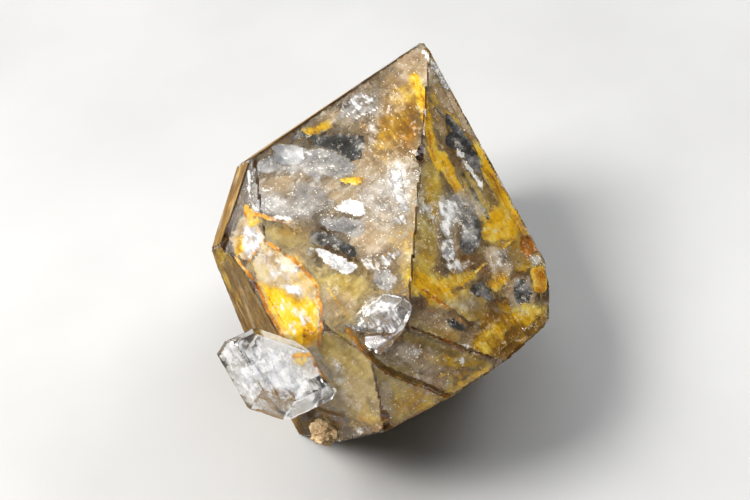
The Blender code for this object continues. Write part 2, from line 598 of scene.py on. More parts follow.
class GoldenQuartz(Finish):
    """Clear smoky-golden quartz: polished growth faces over an absorbing body."""

    name = "golden_quartz"

    def write(self, graph: Graph) -> None:
        """Glass with faint smudges and growth texture, and golden absorption inside.

        Args:
            graph: The material's nodes.
        """
        smudge = graph.cloud(9.0, 3.0, 0.6).ramp(0.50, 0.78)
        streak = graph.cloud(1.6, 2.0, 0.6, 0.0, (1.0, 4.0, 1.0), (0.0, 0.0, -34.0), 0.2)
        pits = 1.0 - graph.cells(2.6, 0.4).ramp(0.0, 0.22)
        height = streak * 0.5 + graph.cloud(0.9, 1.0, 0.5) * 0.35 - pits * smudge
        graph.surface(graph.principled(
            Base_Color=(1.0, 1.0, 1.0), Roughness=0.015 + smudge * 0.16, IOR=QUARTZ_IOR,
            Transmission_Weight=1.0, Normal=graph.bump(height, 0.25, 0.10)))
        graph.absorb((0.87, 0.66, 0.22), 34.0)


class ClearQuartz(Finish):
    """Whitish clear quartz of the small crystals."""

    name = "clear_quartz"

    def write(self, graph: Graph) -> None:
        """Slightly frosted glass with almost no colour.

        Args:
            graph: The material's nodes.
        """
        frost = graph.cloud(3.5, 3.0, 0.6, shift=0.3).ramp(0.42, 0.72)
        height = graph.cloud(0.8, 3.0, 0.6) * 0.6 + graph.cells(1.4, 0.1) * 0.4
        graph.surface(graph.principled(
            Base_Color=(1.0, 1.0, 1.0), Roughness=0.04 + frost * 0.20, IOR=QUARTZ_IOR,
            Transmission_Weight=1.0, Normal=graph.bump(height, 0.22, 0.12)))
        graph.absorb((0.90, 0.88, 0.84), 10.0)


class Mineral(Enum):
    """What a curtain holds; each is a point attribute of this name."""

    OLIVE = "olive"
    SMOKE = "smoke"
    TAN = "tan"
    GOLD = "gold"
    RUST = "rust"
    GREY = "grey"
    WHITE = "white"
    SLATE = "slate"


OLIVE, SMOKE, TAN, GOLD, RUST, GREY, WHITE, SLATE = Mineral


@dataclass(frozen=True)
class Pigment:
    """How one mineral looks: three tones, blotch size, opacity, and how broken, grainy and soft it is."""

    dark: Tint
    middle: Tint
    light: Tint
    blotch_mm: float
    opacity: float
    breakup: float
    grain: float
    mottle: float
    soft: float


PIGMENTS = {
    OLIVE: Pigment(
        (0.22, 0.145, 0.015), (0.60, 0.45, 0.12), (0.94, 0.82, 0.38), 3.5, 0.80, 0.18, 0.26, 0.60, 0.48),
    SMOKE: Pigment(
        (0.06, 0.024, 0.002), (0.29, 0.15, 0.010), (0.64, 0.37, 0.04), 5.0, 0.86, 0.20, 0.26, 0.60, 0.48),
    TAN: Pigment(
        (0.30, 0.20, 0.10), (0.68, 0.54, 0.37), (0.96, 0.90, 0.80), 3.0, 0.70, 0.22, 0.26, 0.70, 0.45),
    GOLD: Pigment(
        (0.46, 0.18, 0.0), (0.98, 0.61, 0.004), (1.0, 0.92, 0.26), 2.6, 0.84, 0.30, 0.30, 0.70, 0.42),
    RUST: Pigment(
        (0.12, 0.03, 0.002), (0.58, 0.21, 0.005), (0.96, 0.58, 0.12), 1.6, 0.88, 0.40, 0.5, 0.80, 0.30),
    SLATE: Pigment(
        (0.004, 0.005, 0.006), (0.060, 0.064, 0.068), (0.50, 0.51, 0.54), 2.2, 0.94, 0.28, 0.26, 0.72, 0.24),
    GREY: Pigment(
        (0.13, 0.14, 0.16), (0.46, 0.47, 0.50), (0.94, 0.95, 0.98), 2.6, 0.72, 0.24, 0.16, 0.80, 0.44),
    WHITE: Pigment(
        (0.34, 0.34, 0.37), (0.82, 0.83, 0.86), (1.0, 1.0, 1.0), 2.0, 0.94, 0.45, 0.50, 0.90, 0.34),
}


FALLING = (GOLD, RUST, SMOKE, WHITE)


@dataclass(frozen=True)
class MineralFilm(Finish):
    """Finish of a curtain: every mineral's colours and cover over its point attribute."""

    name: str
    shift: float = 0.0
    strength: float = 1.0
    painted_glitter: float = 1.0
    shade: float = 1.0
    slot: str = QUARTZ_SLOT
    laid: ClassVar[bool] = True

    def shaded(self, tint: Tint) -> Tint:
        """A colour darkened by the film's shade."""
        return tuple(part * self.shade for part in tint)

    def write(self, graph: Graph) -> None:
        """Lay every mineral over the last, then painted glints and a painted glow on the white.

        Args:
            graph: The material's nodes.
        """
        fine = graph.cloud(0.8, 2.0, 0.65, shift=self.shift + 0.3)
        rising = graph.cloud(1.0, 2.0, 0.6, 0.0, (4.5, 1.0, 1.0), (0.0, 0.0, 38.0), self.shift + 0.6)
        falling = graph.cloud(1.0, 2.0, 0.6, 0.0, (4.5, 1.0, 1.0), (0.0, 0.0, -56.0), self.shift + 0.8)
        shards = graph.shards(1.3, 0.5, self.shift * 0.01)
        scraps = graph.shards(0.45, 0.2, self.shift * 0.02)
        crush = (shards - 0.5) * 0.75 + (scraps - 0.5) * 0.60
        broad = graph.attribute("tone") - 0.5
        colour: object = self.shaded((0.5, 0.45, 0.35))
        alpha: Val | None = None
        for mineral, pigment in PIGMENTS.items():
            strokes = falling if mineral in FALLING else rising
            grains = (strokes - 0.5) * 1.7 + (fine - 0.5) * 0.7 + crush * 0.6
            edge = (strokes - 0.5) * (2.2 * pigment.breakup) + (shards - 0.5) * (0.6 * pigment.breakup)
            held = graph.attribute(mineral.value)
            cover = (held + edge).ramp(0.5 - pigment.soft, 0.5 + pigment.soft) * held.ramp(0.0, 0.2)
            tone = broad * pigment.mottle + grains * pigment.grain + 0.5
            tones = [self.shaded(tint) for tint in (pigment.dark, pigment.middle, pigment.light)]
            colour = graph.blend(cover, colour, graph.colours(tone, *zip((0.12, 0.50, 0.88), tones)))
            seen = cover * (pigment.opacity * self.strength)
            alpha = seen if alpha is None else alpha.most(seen)
        # Painted highlight: glint scraps of the mosaic are whitened in the colour and made glossier. The
        # white mineral's strokes get a painted glow by emission.
        painted_glint = (crush + 0.5).ramp(0.82, 1.08) * self.painted_glitter
        chalk = graph.attribute(WHITE.value).ramp(0.25, 0.95)
        painted_glow_mask = chalk * (falling + crush * 0.5).ramp(0.40, 0.72)
        painted_glow = graph.blend(painted_glow_mask, (0.0, 0.0, 0.0), self.shaded((1.0, 0.98, 0.93)))
        colour = graph.blend(painted_glint * 0.50, colour, self.shaded((1.0, 0.96, 0.84)))
        graph.surface(graph.principled(
            Base_Color=colour, Alpha=alpha, Roughness=0.60 - painted_glint * 0.35, Specular_IOR_Level=0.2,
            Emission_Color=painted_glow, Emission_Strength=0.16,
            Normal=graph.bump(falling * 0.8 + scraps * 0.3, 0.4, 0.30)))


class Dolostone(Finish):
    """Tan, granular host rock."""

    name = "dolostone"
    slot = "tan_dolostone"

    def write(self, graph: Graph) -> None:
        """Sandy colour with dark grains and a rough surface.

        Args:
            graph: The material's nodes.
        """
        grain = graph.cloud(0.7, 5.0, 0.7)
        patch = graph.cloud(2.4, 3.0, 0.6, shift=0.3)
        colour = graph.colours(
            grain * 0.55 + patch * 0.45, (0.30, (0.16, 0.10, 0.05)), (0.48, (0.46, 0.32, 0.17)),
            (0.60, (0.66, 0.50, 0.31)), (0.78, (0.82, 0.70, 0.52)))
        graph.surface(graph.principled(
            Base_Color=colour, Roughness=0.75 + grain * 0.2,
            Normal=graph.bump(grain + graph.cells(0.5) * 0.6, 0.8, 0.3)))


class PaleFloor(Finish):
    """Plain pale studio floor."""

    name = "pale_floor"

    def write(self, graph: Graph) -> None:
        """Matt pale paint with the faintest mottling.

        Args:
            graph: The material's nodes.
        """
        mottle = graph.cloud(60.0, 3.0, 0.5)
        colour = graph.colours(mottle, (0.3, (0.28, 0.278, 0.274)), (0.7, (0.31, 0.308, 0.304)))
        graph.surface(graph.principled(Base_Color=colour, Roughness=0.9))


# --- camera, floor and lights -------------------------------------------------------------------


@dataclass
class Studio:
    """Camera, pale floor and soft lights.

    Elevation and roll are in degrees, lens, reach and aim in millimetres, powers in watts.
    """

    elevation: float = 47.1
    roll: float = -9.23
    lens: float = 70.0
    reach: float = 320.8
    aim: tuple[float, float] = (0.79, -0.34)
    key_power: float = 11.2
    fill_power: float = 3.8
    top_power: float = 3.0
    sky_low: float = 0.10
    sky_high: float = 0.30
    floor_half: float = 4.0

    def __post_init__(self) -> None:
        """Work out the camera's directions and place."""
        tipped, rolled = math.radians(self.elevation), math.radians(self.roll)
        self.ahead = Vector((0.0, math.cos(tipped), -math.sin(tipped)))
        level, raised = Vector((1.0, 0.0, 0.0)), Vector((0.0, math.sin(tipped), math.cos(tipped)))
        self.right = level * math.cos(rolled) + raised * math.sin(rolled)
        self.up = raised * math.cos(rolled) - level * math.sin(rolled)
        self.place = (MAIN_CENTRE + self.right * self.aim[0] + self.up * self.aim[1]
                      - self.ahead * self.reach)

    @property
    def focal(self) -> float:
        """Distance from the eye to the frame, in frame units."""
        return self.lens / SENSOR_WIDTH * FRAME_WIDTH

    def ray(self, x: float, y: float) -> Vector:
        """Direction of sight through a place in the 750 by 500 frame.

        Args:
            x: Place across the frame.
            y: Place down the frame.

        Returns:
            The direction, of unit length.
        """
        way = (self.ahead + self.right * ((x - FRAME_WIDTH / 2) / self.focal)
               - self.up * ((y - FRAME_HEIGHT / 2) / self.focal))
        return way.normalized()

    def build_camera(self) -> None:
        """Put the camera in the scene."""
        lens = bpy.data.cameras.new("camera")
        lens.lens = self.lens
        lens.sensor_width = SENSOR_WIDTH
        lens.clip_start = 0.01
        made = bpy.data.objects.new("camera", lens)
        turn = Matrix((self.right, self.up, -self.ahead)).transposed().to_4x4()
        made.matrix_world = Matrix.Translation(self.place * MM) @ turn
        bpy.context.scene.collection.objects.link(made)
        bpy.context.scene.camera = made

    def build_floor(self) -> None:
        """Lay a plain pale floor."""
        sweep = bmesh.new()
        bmesh.ops.create_grid(sweep, x_segments=1, y_segments=1, size=self.floor_half)
        floor = as_object(sweep, "floor")
        floor.data.materials.append(PaleFloor().material())

    def build_lights(self) -> None:
        """Hang three large soft lights and a dim sky that dims towards the horizon."""
        world = bpy.data.worlds.new("sky")
        world.use_nodes = True
        nodes, link = world.node_tree.nodes, world.node_tree.links.new
        way = nodes.new("ShaderNodeSeparateXYZ")
        link(nodes.new("ShaderNodeTexCoord").outputs["Generated"], way.inputs[0])
        fall = nodes.new("ShaderNodeMapRange")
        fall.inputs["From Min"].default_value = 0.0
        fall.inputs["From Max"].default_value = 1.0
        fall.inputs["To Min"].default_value = self.sky_low
        fall.inputs["To Max"].default_value = self.sky_high
        link(way.outputs["Z"], fall.inputs["Value"])
        back = nodes["Background"]
        back.inputs["Color"].default_value = (0.93, 0.96, 1.0, 1.0)
        link(fall.outputs["Result"], back.inputs["Strength"])
        bpy.context.scene.world = world
        self._panel("key_light", (-0.42, -0.10, 0.62), 0.34, self.key_power, (1.0, 0.985, 0.96))
        self._panel("fill_light", (0.48, 0.30, 0.52), 0.40, self.fill_power, (0.96, 0.98, 1.0))
        self._panel("top_light", (0.02, 0.05, 0.80), 0.60, self.top_power, (0.97, 0.98, 1.0))

    def _panel(self, name: str, place: tuple[float, float, float], side: float, power: float,
               colour: Tint) -> None:
        """Hang one square light panel facing the crystal.

        Args:
            name: The light's name.
            place: Where it hangs (m).
            side: Its side (m).
            power: Its power (W).
            colour: Its colour.
        """
        lamp = bpy.data.lights.new(name, "AREA")
        lamp.size = side
        lamp.energy = power
        lamp.color = colour
        made = bpy.data.objects.new(name, lamp)
        made.location = place
        aim = MAIN_CENTRE * MM - Vector(place)
        made.rotation_euler = aim.to_track_quat("-Z", "Y").to_euler()
        bpy.context.scene.collection.objects.link(made)

    def build(self) -> None:
        """Build everything round the crystal."""
        self.build_camera()
        self.build_floor()
        self.build_lights()
        scene = bpy.context.scene
        scene.view_settings.view_transform = "Standard"
        scene.cycles.use_denoising = True
        scene.view_settings.look = "Medium High Contrast"
        scene.cycles.max_bounces = 8
        scene.cycles.diffuse_bounces = 2
        scene.cycles.glossy_bounces = 4
        scene.cycles.transmission_bounces = 7
        scene.cycles.transparent_max_bounces = 7


# --- quartz bodies ------------------------------------------------------------------------------


def rough_lump(centre: Vector, half: Vector, swell: float, rounds: int = 3,
               grain: float = 0.0) -> bmesh.types.BMesh:
    """A rough closed lump of rock, or the pocket it sits in.

    Args:
        centre: Middle of the lump (mm).
        half: Its three half-lengths (mm).
        swell: Extra reach all round (mm).
        rounds: Subdivisions of the sphere it starts from.
        grain: Height of fine grains (mm).

    Returns:
        The lump.
    """
    solid = bmesh.new()
    bmesh.ops.create_icosphere(solid, subdivisions=rounds, radius=1.0)
    for vert in solid.verts:
        way = vert.co.normalized()
        bump = 1.0 + 0.30 * noise.noise(way * 1.9 + Vector((3.1, 0.4, 7.7)))
        bump += 0.12 * noise.noise(way * 5.3 + Vector((0.2, 5.9, 1.3)))
        reach = Vector((way.x * half.x, way.y * half.y, way.z * half.z)) * bump
        point = reach + way * swell
        if grain:
            point += way * grain * (fbm(point, 0.9, 4, 2.0) - 0.35)
        vert.co = (centre + point) * MM
    bmesh.ops.recalc_face_normals(solid, faces=solid.faces[:])
    return solid


def slice_finely(solid: bmesh.types.BMesh, step: float) -> None:
    """Cut every face along a lattice of planes, so relief can be raised on it.

    Args:
        solid: The solid to cut.
        step: Spacing of the planes (mm).
    """
    low = [min(vert.co[axis] for vert in solid.verts) for axis in range(3)]
    high = [max(vert.co[axis] for vert in solid.verts) for axis in range(3)]
    for axis in range(3):
        normal = Vector((0.0, 0.0, 0.0))
        normal[axis] = 1.0
        count = int((high[axis] - low[axis]) / (step * MM))
        for index in range(1, count + 1):
            place = low[axis] + (high[axis] - low[axis]) * (index - 0.37) / (count + 0.3)
            parts = solid.verts[:] + solid.edges[:] + solid.faces[:]
            bmesh.ops.bisect_plane(solid, geom=parts, dist=2e-6, plane_co=normal * place, plane_no=normal)


@dataclass
class GrowthRelief:
    """Fine relief of a growth face: long waves, growth steps and nibbled edges (mm)."""

    skin: float = 0.05
    wave: float = 0.05
    wave_length: float = 9.0
    steps: float = 0.06
    step_length: float = 14.0
    nibble: float = 0.35
    nibble_length: float = 1.6
    seed: float = 0.0

    def raise_on(self, solid: bmesh.types.BMesh) -> None:
        """Move the solid's points inwards and outwards by the relief.

        Args:
            solid: The sliced crystal.
        """
        solid.normal_update()
        sharp: dict[int, float] = {}
        for vert in solid.verts:
            turn = max((edge.calc_face_angle(0.0) for edge in vert.link_edges), default=0.0)
            sharp[vert.index] = turn
        moves = []
        for vert in solid.verts:
            point = vert.co / MM
            depth = self.skin + self.wave * (0.5 + 0.5 * fbm(point, self.wave_length, 2, self.seed))
            field_height = fbm(point, self.step_length, 3, self.seed + 2.0) * 7.0
            fraction = field_height - math.floor(field_height)
            depth += self.steps * min(1.0, fraction * 5.0)
            if sharp[vert.index] > 0.25:
                bite = fbm(point, self.nibble_length, 2, self.seed + 5.0)
                depth += 0.04 + self.nibble * max(0.0, bite) ** 1.3 * 2.0
            moves.append(vert.normal * (-depth * MM))
        for vert, move in zip(solid.verts, moves):
            vert.co += move


def shade_crisp(target: bpy.types.Object, degrees: float = 22.0) -> None:
    """Shade smooth, but keep edges sharper than this angle.

    Args:
        target: What is shaded.
        degrees: The angle.
    """
    for face in target.data.polygons:
        face.use_smooth = True
    target.data.set_sharp_from_angle(angle=math.radians(degrees))


def finish_piece(target: bpy.types.Object, finish: Finish) -> bpy.types.Object:
    """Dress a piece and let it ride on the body.

    Args:
        target: The piece.
        finish: Its finish.

    Returns:
        The piece.
    """
    target.data.materials.clear()
    target.data.materials.append(finish.material())
    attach(target, "root")
    LOG.info("%s: %d faces", target.name, len(target.data.polygons))
    return target


SMALL_STEP = 0.9


@dataclass
class SmallCrystal:
    """A small quartz crystal grown on the main one."""

    centre: Vector
    axes: CrystalFrame
    faces: list[Facet]

    def planes(self) -> list[Plane]:
        """Planes of its faces."""
        return [self.axes.plane(facet) for facet in self.faces]

    def solid(self) -> bmesh.types.BMesh:
        """Its whole convex body."""
        return convex_solid(self.planes(), MAIN_CENTRE + self.centre)


@dataclass
class Outlined:
    """A body of the clear crystal: outline and front facets on the side that looks out from it.

    The outline goes round clockwise, across and up (mm). A front facet has the heading it slopes
    towards (degrees from across to up), its tilt (degrees) and its distance (mm).
    """

    centre: Vector
    outline: Outline
    fronts: tuple[tuple[float, float, float], ...]
    axes: CrystalFrame = field(default_factory=lambda: CrystalFrame(
        Vector((0.0, -0.225, 0.974)), Vector((0.987, -0.117, -0.109))))
    side_lean: float = 6.0
    root: float = 5.0

    def planes(self) -> list[Plane]:
        """Planes of its root, sides and front facets.

        Returns:
            The planes about its centre.
        """
        out, across, up = self.axes.axis, self.axes.front, self.axes.side
        lean = math.radians(self.side_lean)
        made = [Plane(-out, self.root)]
        for (ax, ay), (bx, by) in zip(self.outline, self.outline[1:] + self.outline[:1]):
            flat = Vector((ay - by, bx - ax)).normalized()
            sideways = across * flat.x + up * flat.y
            made.append(Plane(sideways * math.cos(lean) + out * math.sin(lean),
                              (flat.x * ax + flat.y * ay) * math.cos(lean)))
        for heading, tilt, distance in self.fronts:
            turned, tipped = math.radians(heading), math.radians(tilt)
            slope = across * math.cos(turned) + up * math.sin(turned)
            made.append(Plane(slope * math.sin(tipped) + out * math.cos(tipped), distance))
        return made

    def solid(self) -> bmesh.types.BMesh:
        """Its whole convex body."""
        return convex_solid(self.planes(), MAIN_CENTRE + self.centre)


@dataclass
class MainCrystal:
    """The large smoky-golden crystal with its contact facets, chips and broken tip."""

    heading: float = 34.3
    faces: tuple[Facet, ...] = (
        Facet(Form.UPPER, 0, 21.7, -0.4, 1.0), Facet(Form.UPPER, 60, 24.0, 1.8, 0.2),
        Facet(Form.UPPER, 120, 32.6, 4.8, 1.4), Facet(Form.UPPER, 180, 53.0),
        Facet(Form.UPPER, 240, 39.8), Facet(Form.UPPER, 300, 31.2, 0.4, 0.2),
        Facet(Form.PRISM, 60, 42.5, -1.7, -4.0), Facet(Form.PRISM, 120, 38.0, 2.6, 2.2),
        Facet(Form.PRISM, 180, 54.0), Facet(Form.PRISM, 240, 38.2),
        Facet(Form.PRISM, 300, 31.6, 0.6, 2.8), Facet(Form.LOWER, 0, 36.0, -10.4, -11.8),
        Facet(Form.LOWER, 60, 47.3, 7.7, -6.7), Facet(Form.LOWER, 120, 31.2, -5.9, -2.2),
        Facet(Form.LOWER, 180, 38.0), Facet(Form.LOWER, 240, 47.5),
        Facet(Form.LOWER, 300, 29.4, -2.9, 6.8))
    contacts: tuple[tuple[float, float, float], ...] = (
        (-156.0, 27.8, 32.4), (-178.0, 38.0, 30.4), (-122.0, -28.0, 42.9))
    chips: tuple[tuple[tuple[float, float, float], float, float], ...] = (
        ((19.2, 41.4, 21.9), 6.0, 1.1), ((-20.6, 37.0, 1.4), 6.5, 0.9), ((-37.2, 18.0, -11.4), 6.0, 1.0),
        ((-29.8, 1.8, 8.8), 5.0, 0.5), ((37.6, -9.2, -5.7), 6.5, 0.9), ((34.7, -24.0, -5.9), 5.0, 0.6),
        ((22.8, -39.2, 2.9), 5.5, 0.7), ((12.4, 4.0, 21.6), 4.5, 0.4), ((-3.2, -47.8, 2.0), 5.5, 0.6),
        ((26.7, 6.2, -37.6), 6.0, 0.7))
    remnant_centre: Vector = field(default_factory=lambda: Vector((-15.2, -36.4, -14.0)))
    remnant_half: Vector = field(default_factory=lambda: Vector((3.6, 3.1, 3.5)))
    step: float = 1.15
    relief: GrowthRelief = field(default_factory=GrowthRelief)

    def planes(self) -> list[Plane]:
        """Quartz faces first, then the contact facets and the break.

        Returns:
            The planes about the crystal's centre.
        """
        axes = CrystalFrame.lying(self.heading, 90.0 - TERMINATION_ANGLE)
        made = [axes.plane(facet) for facet in self.faces]
        return made + [heading_plane(*contact) for contact in self.contacts]

    def bites(self) -> list[tuple[Vector, float]]:
        """Middles (mm from the crystal's) and radii of the balls that bite the chips out."""
        return [(Vector(point) + Vector(point).normalized() * (radius - bite), radius)
                for point, radius, bite in self.chips]

    def carve(self, target: bpy.types.Object) -> None:
        """Bite the chips and the rock pocket out of a solid.

        Args:
            target: The solid.
        """
        for place, radius in self.bites():
            ball = bmesh.new()
            bmesh.ops.create_icosphere(ball, subdivisions=4, radius=radius * MM)
            bmesh.ops.translate(ball, verts=ball.verts[:], vec=(MAIN_CENTRE + place) * MM)
            boolean(target, as_object(ball, "chip"), "DIFFERENCE")
        pocket = rough_lump(MAIN_CENTRE + self.remnant_centre, self.remnant_half, 0.45)
        boolean(target, as_object(pocket, "pocket"), "DIFFERENCE")

    def build(self) -> bpy.types.Object:
        """Build the main crystal's finished piece.

        Returns:
            The piece.
        """
        body = as_object(convex_solid(self.planes(), MAIN_CENTRE), "main_crystal")
        self.carve(body)
        refine(body, self.step, self.relief)
        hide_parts("quartz_crystal")
        return finish_piece(body, GoldenQuartz())

    def build_small(self, name: str, bodies: Sequence[SmallCrystal | Outlined]) -> bpy.types.Object:
        """Build a small crystal, cut off a hair's breadth from the main crystal's faces.

        Args:
            name: The piece's name.
            bodies: The convex bodies it is joined from.

        Returns:
            The finished piece.
        """
        body = as_object(bodies[0].solid(), name)
        for other in bodies[1:]:
            boolean(body, as_object(other.solid(), "lobe"), "UNION")
        boolean(body, as_object(convex_solid(self.planes(), MAIN_CENTRE, 0.03), "seat"), "DIFFERENCE")
        refine(body, SMALL_STEP, GrowthRelief(0.04, 0.03, 5.0, 0.04, 7.0, 0.22, 1.1, 3.0))
        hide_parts("quartz_crystal")
        return finish_piece(body, ClearQuartz())

    def build_remnant(self) -> bpy.types.Object:
        """Build the fleck of host rock in the broken tip.

        Returns:
            The piece.
        """
        lump = rough_lump(MAIN_CENTRE + self.remnant_centre, self.remnant_half, 0.0, 6, 0.8)
        body = as_object(lump, "dolostone_fleck")
        shade_crisp(body, 40.0)
        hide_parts("dolostone_remnant")
        return finish_piece(body, Dolostone())


def refine(body: bpy.types.Object, step: float, relief: GrowthRelief) -> None:
    """Slice a crystal finely and raise its growth relief.

    Args:
        body: The crystal.
        step: Size of the slices (mm).
        relief: What is raised on it.
    """
    solid = bmesh.new()
    solid.from_mesh(body.data)
    bmesh.ops.remove_doubles(solid, verts=solid.verts[:], dist=2e-6)
    slice_finely(solid, step)
    bmesh.ops.triangulate(solid, faces=[face for face in solid.faces if len(face.verts) > 4])
    relief.raise_on(solid)
    solid.to_mesh(body.data)
    solid.free()
    shade_crisp(body)


# --- what is sealed in the quartz ---------------------------------------------------------------


@dataclass(frozen=True)
class Entry:
    """Where a line of sight enters the quartz (mm), its direction inside and the face it passes."""

    point: Vector
    inner: Vector
    normal: Vector


@dataclass
class Interior:
    """The inside of a crystal, with places found by the line of sight they are seen along."""

    planes: list[Plane]
    centre: Vector
    studio: Studio
    host: Interior | None = None
    bites: Sequence[tuple[Vector, float]] = ()

    def face_seen(self, x: float, y: float) -> int | None:
        """Number of the face first met by the line of sight through a place in the frame.

        Args:
            x: Place across the frame.
            y: Place down the frame.

        Returns:
            The face's number, or None where the line misses the crystal.
        """
        start, way = self.studio.place - self.centre, self.studio.ray(x, y)
        near, far, first = -FAR_OFF, FAR_OFF, None
        for index, plane in enumerate(self.planes):
            slope = plane.normal.dot(way)
            reach = (plane.distance - plane.normal.dot(start)) / slope if abs(slope) > 1e-9 else FAR_OFF
            if slope < 0.0 and reach > near:
                near, first = reach, index
            elif slope > 0.0:
                far = min(far, reach)
        return None if near > far else first

    def enter(self, x: float, y: float, face: int | None = None) -> Entry | None:
        """Follow a line of sight to the crystal and bend it into the quartz.

        Args:
            x: Place across the 750 by 500 frame.
            y: Place down the frame.
            face: Number of the face it passes, carried on past its edges; the first met if None.

        Returns:
            Where it enters, or None where it misses.
        """
        face = self.face_seen(x, y) if face is None else face
        if face is None:
            return None
        start, way, plane = self.studio.place - self.centre, self.studio.ray(x, y), self.planes[face]
        cosine = -plane.normal.dot(way)
        reach = (plane.normal.dot(start) - plane.distance) / max(cosine, 1e-4)
        ratio = 1.0 / QUARTZ_IOR
        inner = way * ratio + plane.normal * (
            ratio * cosine - math.sqrt(1.0 - ratio ** 2 * (1.0 - cosine ** 2)))
        return Entry(start + way * reach + self.centre, inner.normalized(), plane.normal)

    @cached_property
    def unseen_planes(self) -> list[Plane]:
        """Faces that no line of sight from the front meets first.

        Returns:
            Their planes.
        """
        seen = {self.face_seen(float(x), float(y))
                for x in range(0, int(FRAME_WIDTH), 4) for y in range(0, int(FRAME_HEIGHT), 4)}
        return [plane for number, plane in enumerate(self.planes) if number not in seen]

    @cached_property
    def grazed_planes(self) -> list[Plane]:
        """Faces that lines of sight from the front only graze.

        Returns:
            Their planes.
        """
        glance = self.studio.ahead
        return [plane for plane in self.planes
                if plane not in self.unseen_planes and plane.normal.dot(glance) > GRAZING]

    def room(self, point: Vector, face: int) -> float:
        """Distance (mm) from a point on one face to the nearest other face.

        Args:
            point: The point (mm).
            face: Number of the face it is on.

        Returns:
            The distance (mm).
        """
        place = point - self.centre
        return min(plane.distance - plane.normal.dot(place)
                   for number, plane in enumerate(self.planes) if number != face)

    def holds(self, point: Vector, margin: float) -> bool:
        """Whether a point (mm) is inside by at least this margin, off the chips and the host crystal.

        Args:
            point: The point (mm).
            margin: How far inside it must be (mm); below 0, how far outside it may be.

        Returns:
            Whether it is held.
        """
        if self.host is not None and self.host.holds(point, -0.25):
            return False
        place = point - self.centre
        if any((place - middle).length < radius + margin for middle, radius in self.bites):
            return False
        return all(plane.normal.dot(place) < plane.distance - margin for plane in self.planes)


@dataclass(frozen=True)
class Blot:
    """A cloud of one mineral on a curtain: its middle in the frame and half-lengths in millimetres."""

    follow: ClassVar[float] = 1.0
    ragged: ClassVar[float] = 1.0
    mineral: Mineral
    seen: Spot
    half: Spot
    amount: float = 1.0
    turn: float = 0.0
    soft: float = 0.65

    def at(self, x: float, y: float, scale: float) -> float:
        """Amount at a place in the frame.

        Args:
            x: Place across the frame, already warped.
            y: Place down the frame, already warped.
            scale: Frame units in a millimetre.

        Returns:
            From 0 outside to the full amount inside.
        """
        dx, dy = (x - self.seen[0]) / scale, (self.seen[1] - y) / scale
        turned = math.radians(self.turn)
        u = (dx * math.cos(turned) + dy * math.sin(turned)) / self.half[0]
        v = (dy * math.cos(turned) - dx * math.sin(turned)) / self.half[1]
        return self.amount * smooth_share((1.0 + self.soft - math.hypot(u, v)) / (2.0 * self.soft))


@dataclass(frozen=True)
class Streak:
    """A streak of one mineral along a line in the frame, its width in millimetres."""

    follow: ClassVar[float] = 0.4
    ragged: ClassVar[float] = 0.45
    mineral: Mineral
    path: Outline
    width: float
    amount: float = 1.0

    def at(self, x: float, y: float, scale: float) -> float:
        """Amount at a place in the frame; see Blot.at."""
        near = min(gap_to(x, y, start, end) for start, end in zip(self.path, self.path[1:]))
        return self.amount * smooth_share(1.3 - near / (0.5 * self.width * scale))


@dataclass(frozen=True)
class Patch:
    """One mineral filling an outline in the frame, with a soft edge given in millimetres."""

    follow: ClassVar[float] = 0.3
    ragged: ClassVar[float] = 0.8
    mineral: Mineral
    outline: Outline
    amount: float = 1.0
    soft: float = 0.5

    def at(self, x: float, y: float, scale: float) -> float:
        """Amount at a place in the frame; see Blot.at.

        Args:
            x: Place across the frame, already warped.
            y: Place down the frame, already warped.
            scale: Frame units in a millimetre.

        Returns:
            From 0 outside to the full amount inside.
        """
        near, inside = FAR_OFF, False
        for start, end in zip(self.outline, self.outline[1:] + self.outline[:1]):
            near = min(near, gap_to(x, y, start, end))
            if (start[1] > y) != (end[1] > y):
                crossing = start[0] + (y - start[1]) / (end[1] - start[1]) * (end[0] - start[0])
                inside = inside != (x < crossing)
        reach = (near if inside else -near) / (self.soft * scale)
        return self.amount * smooth_share(0.5 + 0.5 * reach)


Mark = Blot | Streak | Patch


class FilmSheet:
    """A film's mesh in the making, with its minerals, tone and lay stored on its points."""

    def __init__(self) -> None:
        """Start an empty sheet."""
        self.solid = bmesh.new()
        floats = self.solid.verts.layers.float
        self.layers = {mineral: floats.new(mineral.value) for mineral in Mineral}
        self.tone = floats.new("tone")
        self.lay = self.solid.verts.layers.float_vector.new("lay")

    def point(self, place: Vector, tone: float, lay: Vector,
              covers: dict[Mineral, float]) -> bmesh.types.BMVert:
        """Add a point.

        Args:
            place: Where it stands (mm).
            tone: Its broad light or dark, about 0.5.
            lay: Its place in the film's own patterns (m).
            covers: How much of each mineral covers it.

        Returns:
            The point.
        """
        vert = self.solid.verts.new(place * MM)
        vert[self.tone] = tone
        vert[self.lay] = lay
        for mineral, cover in covers.items():
            vert[self.layers[mineral]] = cover
        return vert

    def fill(self, corners: list[bmesh.types.BMVert | None], longest: float = FAR_OFF) -> None:
        """Add a face where all corners are there and its diagonal is shorter than this (mm)."""
        if all(corners) and (corners[0].co - corners[2].co).length < longest * MM:
            self.solid.faces.new(corners)

    def finish(self, finish: MineralFilm) -> bpy.types.Object:
        """Drop stray scraps and make the sheet a finished piece of the finish's name.

        Args:
            finish: The film's finish.

        Returns:
            The piece.
        """
        drop_strays(self.solid)
        target = as_object(self.solid, finish.name)
        for face in target.data.polygons:
            face.use_smooth = True
        return finish_piece(target, finish)


